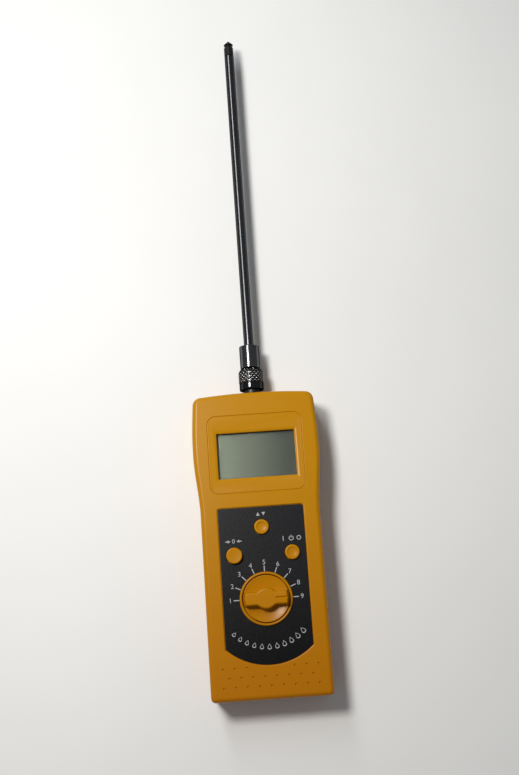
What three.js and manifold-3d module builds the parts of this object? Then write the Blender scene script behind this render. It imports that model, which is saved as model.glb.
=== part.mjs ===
// Hand-held grain moisture meter with its plug-in probe.
// Millimetres, +Z up. The meter lies on its back: +Z leaves the face, +Y runs along the probe to its tip.
// Every height is measured from the surface that the feet stand on, and every length from the bottom end.
import * as THREE from 'three';
import { mergeVertices } from 'three/addons/utils/BufferGeometryUtils.js';
import Module from 'manifold-3d';

const wasm = await Module();
wasm.setup();

// ---------------------------------------------------------------- driving dimensions
const bodyLength = 160;
const halfWidth = 31.5;
const faceZ = 27;
const footHeight = 0.8;
const wall = 2.3;
const gap = 0.3;
const partingZ = 14;
const probeReach = 215.1;

const dialY = 50.4;
const dialRadius = 11.6;
const collarInner = 12.5;
const collarOuter = 13.7;

const windowY = 126;
const windowSize = [41.5, 24.4];
const bezelY = 126.6;
const bezelSize = [50.4, 41.6];
const bezelCorner = 4.6;
const bezelDepth = 1;

const panelTop = 98.3;
const panelHalfWidth = 22.8;
const panelRadius = 33.4;
const panelThickness = 0.5;

const buttonTravel = 0.8;
const buttonHoles = [
  { x: 0, y: 87.4, radius: 3.85 },
  { x: -15.1, y: 73.3, radius: 4.15 },
  { x: 15.1, y: 73.3, radius: 3.85 },
];

const coverLength = 39;
const coverHalfWidth = 25.5;
const coverCorner = 4;

const batterySize = [48.5, 26.5, 17.5];
const labelSize = [36, 26];

const rodRadius = 2.7;
const nutRadius = 6.95;
const nutLength = 11.4;
const sleeveRadius = 5.5;
const sleeveLength = 13.2;

// ---------------------------------------------------------------- worked-out dimensions
const overallLength = bodyLength + probeReach;
const ceilingZ = faceZ - wall;
const floorZ = footHeight + wall;
const innerEndY = bodyLength - wall - gap / 2;
const wide = 100;

const boardTop = 17.2;
const boardThickness = 1.6;
const boardSeat = boardTop + gap;
const tactTop = boardSeat + 2.6;

const dialBase = 25.5;
const dialRim = faceZ + 1.3;
const barTop = faceZ + 6.5;
const shaftRadius = 2.6;

const windowLow = ceilingZ - gap - 1.2;
const lcdSize = [42.6, 28.6];
const lcdTop = windowLow - gap;
const lcdLow = lcdTop - 2.2;

const labelY = bodyLength - 58.5;

const screwPitchHole = 1.4;
const lowerScrewY = coverLength - 2.9;
const screwPlaces = [[26.2, 130], [-26.2, 130], [20, lowerScrewY], [-20, lowerScrewY]];
const boardScrewPlaces = [[-23.5, 48], [23.5, 48]];
const footPlaces = [[20.5, bodyLength - 13.5], [-20.5, bodyLength - 13.5]];
const coverFootPlaces = [[18.8, 8], [-18.8, 8]];

const batteryLow = [-26, 4.6, 5.2];
const snapX = batteryLow[0] + batterySize[0] + gap;
const leadRadius = 0.5;

const socketThread = 4.6;
const socketBore = 3.5;
const socketEnd = bodyLength + 11;
const contactLow = bodyLength - 11;
const washerHigh = innerEndY - gap;
const washerLow = washerHigh - 0.8;
const nutLow = bodyLength + 3.4;
const nutHigh = nutLow + nutLength;
const sleeveLow = nutHigh + gap;
const sleeveHigh = sleeveLow + sleeveLength;
const collarLength = 6.8;
const tipConeLength = 2.8;
const collarEnd = overallLength - tipConeLength - 0.4;
const collarStart = collarEnd - collarLength;
const tipStemRadius = 1;
const tipStemLow = collarEnd - 5;
const conductorRadius = 0.6;
const insulatorRadius = 1.6;

// ---------------------------------------------------------------- materials
function paint(color, roughness, metalness = 0) {
  return () => new THREE.MeshStandardMaterial({ color, roughness, metalness });
}

const yellowPlastic = paint(0xe09a1c, 0.45);
const slatePrint = paint(0x26282d, 0.5);
const clearPlastic = paint(0xb9c2b4, 0.08);
const lcdMaterial = paint(0x8f9a86, 0.25);
const whitePlastic = paint(0xd9d7cf, 0.55);
const blackPlastic = paint(0x1c1c1e, 0.55);
const blackRubber = paint(0x161616, 0.85);
const boardGreen = paint(0x1d5a36, 0.5);
const steel = paint(0x77797d, 0.22, 1);
const chrome = paint(0xa4a6aa, 0.12, 1);
const zinc = paint(0xa9abae, 0.4, 1);
const brassGold = paint(0xc9a24a, 0.3, 1);
const silverFoil = paint(0xc4c5c8, 0.35, 0.4);
const batteryCan = paint(0x2b3138, 0.35, 0.3);
const redWire = paint(0xb3211c, 0.5);
const blackWire = paint(0x151515, 0.5);
const greyFoam = paint(0x3a3a3c, 0.95);
const insulatorWhite = paint(0xece9e0, 0.4);

// ---------------------------------------------------------------- solid helpers
// Closed three.js geometry to a manifold solid.
function solid(geometry) {
  const plain = geometry.clone();
  plain.deleteAttribute('normal');
  plain.deleteAttribute('uv');
  const welded = mergeVertices(plain, 1e-4);
  const vertProperties = new Float32Array(welded.attributes.position.array);
  const triVerts = new Uint32Array(welded.index.array);
  return new wasm.Manifold(new wasm.Mesh({ numProp: 3, vertProperties, triVerts }));
}

// Named three.js mesh from a manifold solid.
function piece(name, body, material) {
  const raw = body.getMesh();
  const positions = new Float32Array(raw.numVert * 3);
  for (let i = 0; i < raw.numVert; i += 1) {
    for (let k = 0; k < 3; k += 1) positions[3 * i + k] = raw.vertProperties[raw.numProp * i + k];
  }
  const geometry = new THREE.BufferGeometry();
  geometry.setAttribute('position', new THREE.BufferAttribute(positions, 3));
  geometry.setIndex(new THREE.BufferAttribute(new Uint32Array(raw.triVerts), 1));
  geometry.computeVertexNormals();
  const made = new THREE.Mesh(geometry, material());
  made.name = name;
  return made;
}

// Box by its low and high corners.
function box(low, high) {
  const size = high.map((value, k) => value - low[k]);
  const geometry = new THREE.BoxGeometry(...size);
  geometry.translate(...high.map((value, k) => (value + low[k]) / 2));
  return solid(geometry);
}

// Box standing on height low, centred on (x, y).
function block(width, length, low, high, x = 0, y = 0) {
  return box([x - width / 2, y - length / 2, low], [x + width / 2, y + length / 2, high]);
}

// Solid turned about +Z from a list of [radius, z], standing at (x, y). The list runs from axis to axis.
function turnedUp(profile, x, y, segments = 24) {
  const geometry = new THREE.LatheGeometry(profile.map(([r, z]) => new THREE.Vector2(r, z)), segments);
  geometry.rotateX(Math.PI / 2);
  geometry.translate(x, y, 0);
  return solid(geometry);
}

function cylinder(radius, low, high, x, y, segments = 24) {
  return turnedUp([[0, low], [radius, low], [radius, high], [0, high]], x, y, segments);
}

// Solid turned about the probe's axis from a list of [radius, y]. The list runs from axis to axis.
function turnedAlong(profile, segments = 24) {
  const geometry = new THREE.LatheGeometry(profile.map(([r, y]) => new THREE.Vector2(r, y)), segments);
  geometry.translate(0, 0, partingZ);
  return solid(geometry);
}

function rod(radius, low, high, segments = 24) {
  return turnedAlong([[0, low], [radius, low], [radius, high], [0, high]], segments);
}

function tube(outer, inner, low, high, segments = 24) {
  return rod(outer, low, high, segments).subtract(rod(inner, low - 1, high + 1, segments));
}

// Flat shape pushed up from one height to another.
function plate(shape, low, high, curveSegments = 8) {
  const geometry = new THREE.ExtrudeGeometry(shape, { depth: high - low, bevelEnabled: false, curveSegments });
  geometry.translate(0, 0, low);
  return solid(geometry);
}

function roundedRect(width, height, radius, x = 0, y = 0) {
  const left = x - width / 2;
  const bottom = y - height / 2;
  const right = left + width;
  const top = bottom + height;
  const shape = new THREE.Shape();
  shape.absarc(right - radius, bottom + radius, radius, -Math.PI / 2, 0);
  shape.absarc(right - radius, top - radius, radius, 0, Math.PI / 2);
  shape.absarc(left + radius, top - radius, radius, Math.PI / 2, Math.PI);
  shape.absarc(left + radius, bottom + radius, radius, Math.PI, Math.PI * 1.5);
  return shape;
}

// Closed solid through a stack of rings, lowest first, each a list of [x, y, z] of one length.
function loft(rings) {
  const count = rings[0].length;
  const positions = rings.flat(2);
  const index = [];
  for (let level = 0; level < rings.length - 1; level += 1) {
    for (let i = 0; i < count; i += 1) {
      const a = level * count + i;
      const b = level * count + (i + 1) % count;
      index.push(a, b, b + count, a, b + count, a + count);
    }
  }
  const flat = rings[0].map(([x, y]) => new THREE.Vector2(x, y));
  const top = (rings.length - 1) * count;
  for (const [a, b, c] of THREE.ShapeUtils.triangulateShape(flat, [])) {
    index.push(c, b, a);
    index.push(top + a, top + b, top + c);
  }
  const geometry = new THREE.BufferGeometry();
  geometry.setAttribute('position', new THREE.Float32BufferAttribute(positions, 3));
  geometry.setIndex(index);
  return solid(geometry);
}

// Round wire through a list of points.
function wire(points, radius) {
  const path = new THREE.CatmullRomCurve3(points.map((p) => new THREE.Vector3(...p)));
  const section = new THREE.Shape();
  section.absarc(0, 0, radius, 0, 2 * Math.PI);
  const settings = { steps: 14, extrudePath: path, curveSegments: 4, bevelEnabled: false };
  return solid(new THREE.ExtrudeGeometry(section, settings));
}

// ---------------------------------------------------------------- outline of the case
// Half the width of the case at a distance from the bottom end. The head is wider than the foot.
// grip is 0 at the face and 1 at the back, where the sides have a waist for the hand.
function caseHalfWidth(y, grip) {
  const headBulge = 2.25;
  const backBulge = 0.6;
  const waistDepth = 2.1;
  const waistY = 82;
  const waistReach = 37;
  const rise = THREE.MathUtils.smoothstep(y, 95, 128);
  const fall = 1 - 0.75 * THREE.MathUtils.smoothstep(y, 133, 167);
  const fromWaist = Math.min(Math.abs(y - waistY) / waistReach, 1);
  const waist = grip * waistDepth * 0.5 * (1 + Math.cos(Math.PI * fromWaist));
  return halfWidth + rise * fall * (headBulge + grip * backBulge) - waist;
}

// Ring of the case's outline at height z, pulled in by inset. The top end is slightly crowned.
function caseRing(z, inset, grip) {
  const bottomRadius = Math.max(2.5 - inset, 0.6);
  const topRadius = Math.max(4.5 - inset, 1);
  const crown = 1.2;
  const high = bodyLength - crown - inset;
  const side = [];
  const corner = (radius, y, from) => {
    const x = caseHalfWidth(y, grip) - inset - radius;
    for (let step = 0; step <= 3; step += 1) {
      const angle = from + step * Math.PI / 6;
      side.push([x + radius * Math.cos(angle), y + radius * Math.sin(angle), z]);
    }
  };
  corner(bottomRadius, inset + bottomRadius, -Math.PI / 2);
  const [sideLow, sideHigh, sideSteps] = [45, 146, 11];
  for (let step = 0; step <= sideSteps; step += 1) {
    const y = sideLow + step * (sideHigh - sideLow) / sideSteps;
    side.push([caseHalfWidth(y, grip) - inset, y, z]);
  }
  corner(topRadius, high - topRadius, 0);
  const shoulder = side[side.length - 1][0];
  const shares = [0.7, 0.35, 0, -0.35, -0.7];
  const top = shares.map((share) => [share * shoulder, high + crown * (1 - share ** 2), z]);
  const left = side.map(([x, y]) => [-x, y, z]).reverse();
  return [...side, ...top, ...left];
}

function outerCase() {
  const faceRound = 2;
  const chamfer = (1 - Math.SQRT1_2) * faceRound;
  return loft([
    caseRing(footHeight, 3.2, 1),
    caseRing(footHeight + 0.8, 1.1, 1),
    caseRing(footHeight + 3, 0, 1),
    caseRing(partingZ - 3, 0, 0.25),
    caseRing(partingZ, 0, 0),
    caseRing(faceZ - faceRound, 0, 0),
    caseRing(faceZ - chamfer, chamfer, 0),
    caseRing(faceZ, faceRound, 0),
  ]);
}

function innerCase() {
  return loft([
    caseRing(floorZ, wall + 2, 1),
    caseRing(floorZ + 2, wall, 1),
    caseRing(partingZ, wall, 0),
    caseRing(ceilingZ, wall, 0),
  ]);
}

const outer = outerCase();
const inner = innerCase();

// ---------------------------------------------------------------- front shell
// Outline of the slate panel: square at the top, an arc about the dial's centre at the bottom.
function panelShape(inset) {
  const half = panelHalfWidth - inset;
  const radius = panelRadius - inset;
  const top = panelTop - inset;
  const corner = 1.5;
  const spread = Math.asin(half / radius);
  const shape = new THREE.Shape();
  shape.absarc(0, dialY, radius, -Math.PI / 2 - spread, -Math.PI / 2 + spread);
  shape.absarc(half - corner, top - corner, corner, 0, Math.PI / 2);
  shape.absarc(corner - half, top - corner, corner, Math.PI / 2, Math.PI);
  return shape;
}

// Bezel round the display: four mitred slopes down to the window, inside an outline with round corners.
function bezelCut() {
  const beyond = 1.2;
  const ring = (share, z) => {
    const [w, h] = windowSize.map((size, k) => size + share * (bezelSize[k] - size));
    const y = windowY + share * (bezelY - windowY);
    const corners = [[1, -1], [1, 1], [-1, 1], [-1, -1]];
    return corners.map(([a, b]) => [a * w / 2, y + b * h / 2, z]);
  };
  const slopes = loft([ring(0, faceZ - bezelDepth), ring(beyond, faceZ + 0.02)]);
  return slopes.intersect(plate(roundedRect(...bezelSize, bezelCorner, 0, bezelY), faceZ - 2, faceZ + 2, 4));
}

// Three rows of small blind pits across the bottom of the face. The highest row is broken by the panel.
function facePits() {
  const [pitch, rowPitch, lowRow, radius, depth] = [6.1, 4.7, 6.9, 0.55, 0.7];
  const pit = (column, row) => {
    const y = lowRow + row * rowPitch;
    return cylinder(radius, faceZ - depth, faceZ + 1, column * pitch, y, 6);
  };
  const pits = [];
  for (let column = -4; column <= 4; column += 1) {
    pits.push(pit(column, 0));
    if (column < 4) pits.push(pit(column + 0.5, 1));
    if (Math.abs(column) > 1) pits.push(pit(column, 2));
  }
  return pits;
}

function frontShell() {
  const [dialPocketZ, shaftHole, bossRadius, bossHoleTop] = [25.2, 3.2, 2.9, 21];
  const proud = faceZ + 5;
  const under = ceilingZ - 5;
  const upperHalf = box([-wide, -wall, partingZ + gap / 2], [wide, bodyLength + wall, wide]);
  let shell = outer.intersect(upperHalf).subtract(inner);
  shell = shell.add(cylinder(collarOuter, faceZ - 1, faceZ + 1.1, 0, dialY, 48));
  shell = shell.add(cylinder(collarOuter + 0.8, ceilingZ - 1.8, ceilingZ + 0.5, 0, dialY, 32));
  const boss = (low, [x, y]) => cylinder(bossRadius, low, ceilingZ + 0.5, x, y, 12);
  for (const place of screwPlaces) shell = shell.add(boss(partingZ + gap, place));
  for (const place of boardScrewPlaces) shell = shell.add(boss(boardSeat, place));
  const recess = plate(panelShape(0), faceZ - panelThickness - gap, proud, 6);
  shell = shell.subtract(recess.subtract(cylinder(collarOuter, faceZ - 2, proud + 1, 0, dialY, 48)));
  shell = shell.subtract(cylinder(collarInner, dialPocketZ, proud, 0, dialY, 48));
  shell = shell.subtract(cylinder(shaftHole, under, proud, 0, dialY, 16));
  for (const { x, y, radius } of buttonHoles) shell = shell.subtract(cylinder(radius + gap, under, proud, x, y));
  shell = shell.subtract(bezelCut());
  for (const pit of facePits()) shell = shell.subtract(pit);
  shell = shell.subtract(block(...windowSize, under, faceZ, 0, windowY));
  for (const [x, y] of screwPlaces.concat(boardScrewPlaces)) {
    shell = shell.subtract(cylinder(screwPitchHole, partingZ - 1, bossHoleTop, x, y, 10));
  }
  return shell.subtract(rod(socketThread + gap, bodyLength - 8, bodyLength + 1));
}

// ---------------------------------------------------------------- rear shell and battery cover
// Rear shell: open over the battery bay, with a groove along each side for the cover's rails.
function rearShell() {
  const [wellRadius, bossRadius, bossTop, ribTop] = [2.35, 3.4, partingZ - gap / 2, 4.8];
  const ribX = coverHalfWidth - 0.6;
  const lowerHalf = box([-wide, -wall, -wall], [wide, bodyLength + wall, bossTop]);
  let shell = outer.intersect(lowerHalf).subtract(inner);
  const bayWall = box([-wide, coverLength - 0.2, floorZ - 0.5], [wide, coverLength + 1.4, bossTop]);
  shell = shell.add(bayWall.intersect(inner));
  const ribs = box([ribX, 1, floorZ - 0.5], [wide, coverLength, ribTop])
    .add(box([-wide, 1, floorZ - 0.5], [-ribX, coverLength, ribTop]));
  shell = shell.add(ribs.intersect(outer));
  for (const [x, y] of screwPlaces) {
    const overBay = y < coverLength;
    shell = shell.add(cylinder(bossRadius, overBay ? 6.5 : floorZ - 0.5, bossTop, x, y, 16).intersect(outer));
    shell = shell.subtract(cylinder(wellRadius, overBay ? 5 : -1, 8, x, y, 16));
    shell = shell.subtract(cylinder(screwPitchHole, 7, partingZ + 1, x, y, 10));
  }
  shell = shell.subtract(coverSpace(gap)).subtract(labelSpace());
  for (const [x, y] of footPlaces) shell = shell.add(foot(x, y));
  return shell.subtract(rod(socketThread + gap, bodyLength - 8, bodyLength + 1));
}

// Round moulded foot, flat underneath.
function foot(x, y) {
  const high = footHeight + 0.4;
  return turnedUp([[0, 0], [1.3, 0], [1.8, 0.5], [1.8, high], [0, high]], x, y, 16);
}

function labelSpace() {
  const [w, h] = labelSize.map((size) => size + 2 * gap);
  return plate(roundedRect(w, h, 1, 0, labelY), footHeight - 1, footHeight + 0.5, 3);
}

function ratingLabel() {
  return plate(roundedRect(...labelSize, 0.8, 0, labelY), footHeight, footHeight + 0.2, 3);
}

// Space that the battery cover and its side rails take, swept past the bottom end. grow is the clearance.
function coverSpace(grow) {
  const halfCover = coverHalfWidth + grow;
  const railHalf = halfCover + 1.3;
  const railHigh = coverLength - coverCorner + grow;
  const outline = roundedRect(2 * halfCover, 2 * (coverLength + grow), coverCorner + grow);
  const body = plate(outline, -5, floorZ + grow, 4);
  return body.add(box([-railHalf, -5, floorZ - 1 - grow], [railHalf, railHigh, floorZ + grow]));
}

function batteryCover() {
  const endTrim = 0.05;
  const inside = outer.intersect(box([-wide, endTrim, -wall], [wide, bodyLength, wide]));
  let cover = coverSpace(0).intersect(inside).add(arrowGrip());
  for (const [x, y] of coverFootPlaces) cover = cover.add(foot(x, y));
  return cover;
}

// Raised arrow on the cover, pointing the way the cover slides off.
function arrowGrip() {
  const [tipY, headHalf, headLength, shaftHalf, length] = [19.5, 6.5, 6, 3.4, 12];
  const shape = new THREE.Shape();
  shape.moveTo(0, tipY);
  shape.lineTo(headHalf, tipY + headLength);
  shape.lineTo(shaftHalf, tipY + headLength);
  shape.lineTo(shaftHalf, tipY + length);
  shape.lineTo(-shaftHalf, tipY + length);
  shape.lineTo(-shaftHalf, tipY + headLength);
  shape.lineTo(-headHalf, tipY + headLength);
  return plate(shape, footHeight - 0.5, footHeight + 0.4);
}

// Screw with a flat head at its low end and a thread cut to a short point.
function screw(x, y, headLow, headHeight, threadRadius, neck) {
  const headRadius = 2;
  const headHigh = headLow + headHeight;
  const threadHigh = 20;
  return turnedUp([
    [0, headLow], [headRadius, headLow], [headRadius, headHigh], [threadRadius, headHigh + neck],
    [threadRadius, threadHigh], [0, threadHigh + 0.6],
  ], x, y, 12);
}

const caseScrew = (x, y) => screw(x, y, 5.6, 2, 1.05, gap);
const boardScrew = (x, y) => screw(x, y, boardTop - boardThickness - 1.8, 1.5, 0.9, 0);

// ---------------------------------------------------------------- face
function displayWindow() {
  const overlap = 3;
  return block(windowSize[0] + overlap, windowSize[1] + overlap, windowLow, ceilingZ - gap, 0, windowY);
}

function controlPanel() {
  let panel = plate(panelShape(gap), faceZ - panelThickness, faceZ, 6);
  panel = panel.subtract(cylinder(collarOuter + gap, ceilingZ, faceZ + 1, 0, dialY, 48));
  for (const { x, y, radius } of buttonHoles) {
    panel = panel.subtract(cylinder(radius + gap, ceilingZ, faceZ + 1, x, y));
  }
  return panel;
}

// Dial: dished disc with a bar handle across it and a round hub, turned by a shaft in its bore.
function selectorDial() {
  const [dishFloor, dishRadius, rimWidth] = [faceZ + 0.2, 6, 0.9];
  const [barWidth, barLow] = [7.2, dialBase + 0.5];
  const disc = turnedUp([
    [0, dialBase], [dialRadius, dialBase], [dialRadius, dialRim], [dialRadius - rimWidth, dialRim],
    [dishRadius, dishFloor], [0, dishFloor],
  ], 0, dialY, 36);
  const bar = plate(roundedRect(2 * dialRadius - 0.4, barWidth, 1.6, 0, dialY), barLow, barTop, 3);
  const hub = turnedUp([[0, barLow], [5.8, barLow], [5.4, barTop], [0, barTop]], 0, dialY, 24);
  const bore = cylinder(shaftRadius + gap, dialBase - 1, dialBase + 4, 0, dialY, 16);
  const pointer = box([5.5, dialY - 0.4, barTop - 0.5], [dialRadius, dialY + 0.4, barTop + 1]);
  const round = cylinder(dialRadius, 0, barTop + 1, 0, dialY, 36);
  return disc.add(bar.intersect(round)).add(hub).subtract(bore).subtract(pointer);
}

function switchShaft() {
  return cylinder(shaftRadius, boardSeat + 0.5, dialBase + 3.7, 0, dialY, 16);
}

function rotarySwitch() {
  const [radius, top] = [10, 22.4];
  const bore = cylinder(shaftRadius + gap, boardSeat - 1, top + 1, 0, dialY, 16);
  return cylinder(radius, boardSeat, top, 0, dialY, 24).subtract(bore);
}

// Button with a flange under the face. rise is its height over the face, and dish is the depth of its hollow.
function button({ x, y, radius }, rise, dish) {
  const topZ = faceZ + rise;
  const flangeTop = ceilingZ - gap;
  const flangeLow = flangeTop - 1;
  const flangeRadius = radius + 1.3;
  const stemRadius = 1.6;
  const stemLow = tactTop + buttonTravel + gap;
  const edge = 0.5;
  const hollow = [[radius - 1, topZ], [radius - 1.6, topZ - dish], [0, topZ - dish]];
  const flat = [[radius - edge, topZ], [0, topZ]];
  return turnedUp([
    [0, stemLow], [stemRadius, stemLow], [stemRadius, flangeLow], [flangeRadius, flangeLow],
    [flangeRadius, flangeTop], [radius, flangeTop], [radius, topZ - edge], ...(dish > 0 ? hollow : flat),
  ], x, y, 24);
}

function tactSwitch(x, y) {
  const [width, height, plungerRadius] = [6, 1.8, 1.7];
  const plunger = cylinder(plungerRadius, boardSeat + 1, tactTop, x, y, 12);
  return block(width, width, boardSeat, boardSeat + height, x, y).add(plunger);
}

// ---------------------------------------------------------------- inside
// Board: full width behind the panel, narrower between the upper screws.
function mainBoard() {
  const [low, high] = [coverLength + 2, bodyLength - 14];
  const [full, fullHigh] = [27.3, 118];
  const [narrow, narrowLow] = [21.5, 122];
  const shape = new THREE.Shape();
  shape.moveTo(-full, low);
  shape.lineTo(full, low);
  shape.lineTo(full, fullHigh);
  shape.lineTo(narrow, narrowLow);
  shape.lineTo(narrow, high);
  shape.lineTo(-narrow, high);
  shape.lineTo(-narrow, narrowLow);
  shape.lineTo(-full, fullHigh);
  let board = plate(shape, boardTop - boardThickness, boardTop);
  for (const [x, y] of boardScrewPlaces) board = board.subtract(cylinder(1.3, 10, 20, x, y, 12));
  return board;
}

function lcdGlass() {
  return block(...lcdSize, lcdLow, lcdTop, 0, windowY);
}

function lcdHolder() {
  const [w, h] = lcdSize;
  const frame = block(w + 3, h + 5, boardSeat, lcdTop, 0, windowY);
  return frame.subtract(block(w + 2 * gap, h + 2 * gap, 0, wide, 0, windowY));
}

// Rubber strip that joins the display to the board, along its low or high edge.
function contactStrip(side) {
  const [length, width] = [38, 2.4];
  return block(length, width, boardSeat, lcdLow - gap, 0, windowY + side * (lcdSize[1] / 2 - 1.6));
}

function battery9v() {
  const [x, y, z] = batteryLow;
  const [length, width, thickness] = batterySize;
  const section = roundedRect(thickness, width, 2.2);
  const geometry = new THREE.ExtrudeGeometry(section, { depth: length, bevelEnabled: false, curveSegments: 3 });
  geometry.rotateY(Math.PI / 2);
  geometry.translate(x, y + width / 2, z + thickness / 2);
  return solid(geometry);
}

function batterySnap() {
  const [, y, z] = batteryLow;
  const [, width, thickness] = batterySize;
  return box([snapX, y + 4, z + 2.6], [snapX + 3.2, y + width - 4, z + thickness - 2.6]);
}

// Foam pad on the battery's face, which keeps it from rattling against the cover.
function batteryPad() {
  return block(40, 22, floorZ + gap, batteryLow[2] - gap, 0, 19);
}

// Lead from the snap, over the bay wall and under the board. crestX is where it crosses the wall.
function batteryLead(startZ, crestX, endX) {
  const x = snapX + 1.3;
  const startY = batteryLow[1] + batterySize[1] - 4 + gap;
  const crestZ = boardTop - boardThickness - gap - leadRadius;
  return wire([
    [x, startY, startZ], [(x + crestX) / 2 - gap, startY + 4.5, startZ + 1.5],
    [crestX, coverLength - 2, crestZ - gap], [crestX - 0.8, coverLength + 1.5, crestZ],
    [endX, coverLength + 8, crestZ],
  ], leadRadius);
}

// ---------------------------------------------------------------- probe socket
// Panel socket: a flanged barrel with two bayonet lugs, through the split between the shells.
function socketShell() {
  const [flangeRadius, barrelRadius, threadLow] = [6.3, 4.3, bodyLength - 9];
  const [lugRadius, lugRoot, lugReach, lugY] = [0.9, socketBore + 0.4, 5.5, bodyLength + 8];
  const barrel = turnedAlong([
    [0, threadLow], [socketThread, threadLow], [socketThread, bodyLength + gap],
    [flangeRadius, bodyLength + gap], [flangeRadius, bodyLength + 1], [barrelRadius, bodyLength + 1.5],
    [barrelRadius, socketEnd], [0, socketEnd],
  ]);
  let shell = barrel.subtract(rod(socketBore, threadLow - 1, socketEnd + 1));
  for (const side of [-1, 1]) {
    const lug = new THREE.CylinderGeometry(lugRadius, lugRadius, lugReach - lugRoot, 10);
    lug.rotateZ(Math.PI / 2);
    lug.translate(side * (lugReach + lugRoot) / 2, lugY, partingZ);
    shell = shell.add(solid(lug));
  }
  return shell;
}

function socketWasher() {
  return tube(6.6, socketThread + gap, washerLow, washerHigh);
}

function socketNut() {
  const high = washerLow - gap;
  return rod(6.8, high - 2.2, high, 6).subtract(rod(socketThread + gap, 0, bodyLength));
}

function socketInsulator() {
  return tube(3.2, conductorRadius + gap, bodyLength - 8.5, bodyLength - 1, 16);
}

function socketContact() {
  return rod(conductorRadius, contactLow, bodyLength + 1, 10);
}

function signalLead() {
  const end = contactLow - gap;
  const z = partingZ;
  return wire([[0, end, z], [0.5, end - 3, z - 0.5], [2, end - 8, z - 0.2], [3, end - 12, z - 0.2]], leadRadius);
}

// ---------------------------------------------------------------- probe
// Tip: a cone on a thin stem that is held in the black collar.
function probeTip() {
  const coneLow = collarEnd + gap;
  return turnedAlong([
    [0, tipStemLow], [tipStemRadius, tipStemLow], [tipStemRadius, coneLow], [rodRadius, coneLow + 0.1],
    [rodRadius, coneLow + 0.4], [0.15, overallLength], [0, overallLength],
  ], 20);
}

function tipInsulator() {
  const form = turnedAlong([
    [0, collarStart], [rodRadius, collarStart], [rodRadius, collarEnd - 0.8], [rodRadius - 0.4, collarEnd],
    [0, collarEnd],
  ], 20);
  return form.subtract(rod(tipStemRadius + gap, collarStart - 1, collarEnd + 1, 12));
}

function probeRod() {
  return tube(rodRadius, insulatorRadius + gap, nutHigh + 3, collarStart - gap, 20);
}

function innerInsulator() {
  return tube(insulatorRadius, conductorRadius + gap, bodyLength + 6, collarStart - gap, 12);
}

function innerConductor() {
  return rod(conductorRadius, bodyLength + 2, tipStemLow - gap, 8);
}

// Smooth sleeve between the coupling nut and the rod.
function probeSleeve() {
  const edge = 0.7;
  const form = turnedAlong([
    [0, sleeveLow], [sleeveRadius - 0.9, sleeveLow], [sleeveRadius, sleeveLow + edge],
    [sleeveRadius, sleeveHigh - edge], [sleeveRadius - edge, sleeveHigh], [0, sleeveHigh],
  ]);
  return form.subtract(rod(rodRadius + gap, nutHigh, sleeveHigh + 1, 20));
}

// The plug's body stays inside the coupling nut and carries the nut on its collar.
function plugBody() {
  const pinRadius = socketBore - gap;
  const collarRadius = 5.2;
  const neckRadius = 4.3;
  const collarHigh = nutHigh - 1.6;
  const form = turnedAlong([
    [0, bodyLength + 3], [pinRadius, bodyLength + 3], [pinRadius, socketEnd + gap],
    [collarRadius, socketEnd + gap], [collarRadius, collarHigh], [neckRadius, collarHigh],
    [neckRadius, nutHigh], [0, nutHigh],
  ]);
  return form.subtract(rod(insulatorRadius + gap, bodyLength, nutHigh + 1, 12));
}

// Coupling nut: a smooth skirt towards the case and a wider knurled ring towards the sleeve.
function couplingNut() {
  const [skirtRadius, skirtHigh, edge] = [nutRadius - 0.3, nutLow + 3.4, 0.4];
  const [boreRadius, neckRadius, shoulder] = [5.7, 4.7, nutHigh - 1.3];
  const form = turnedAlong([
    [0, nutLow], [skirtRadius, nutLow], [skirtRadius, skirtHigh], [nutRadius, skirtHigh + 0.3],
    [nutRadius, nutHigh - edge], [nutRadius - edge, nutHigh], [0, nutHigh],
  ], 32);
  const bore = turnedAlong([
    [0, nutLow - 1], [boreRadius, nutLow - 1], [boreRadius, shoulder], [neckRadius, shoulder],
    [neckRadius, nutHigh + 1], [0, nutHigh + 1],
  ]);
  return form.subtract(bore);
}

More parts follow.
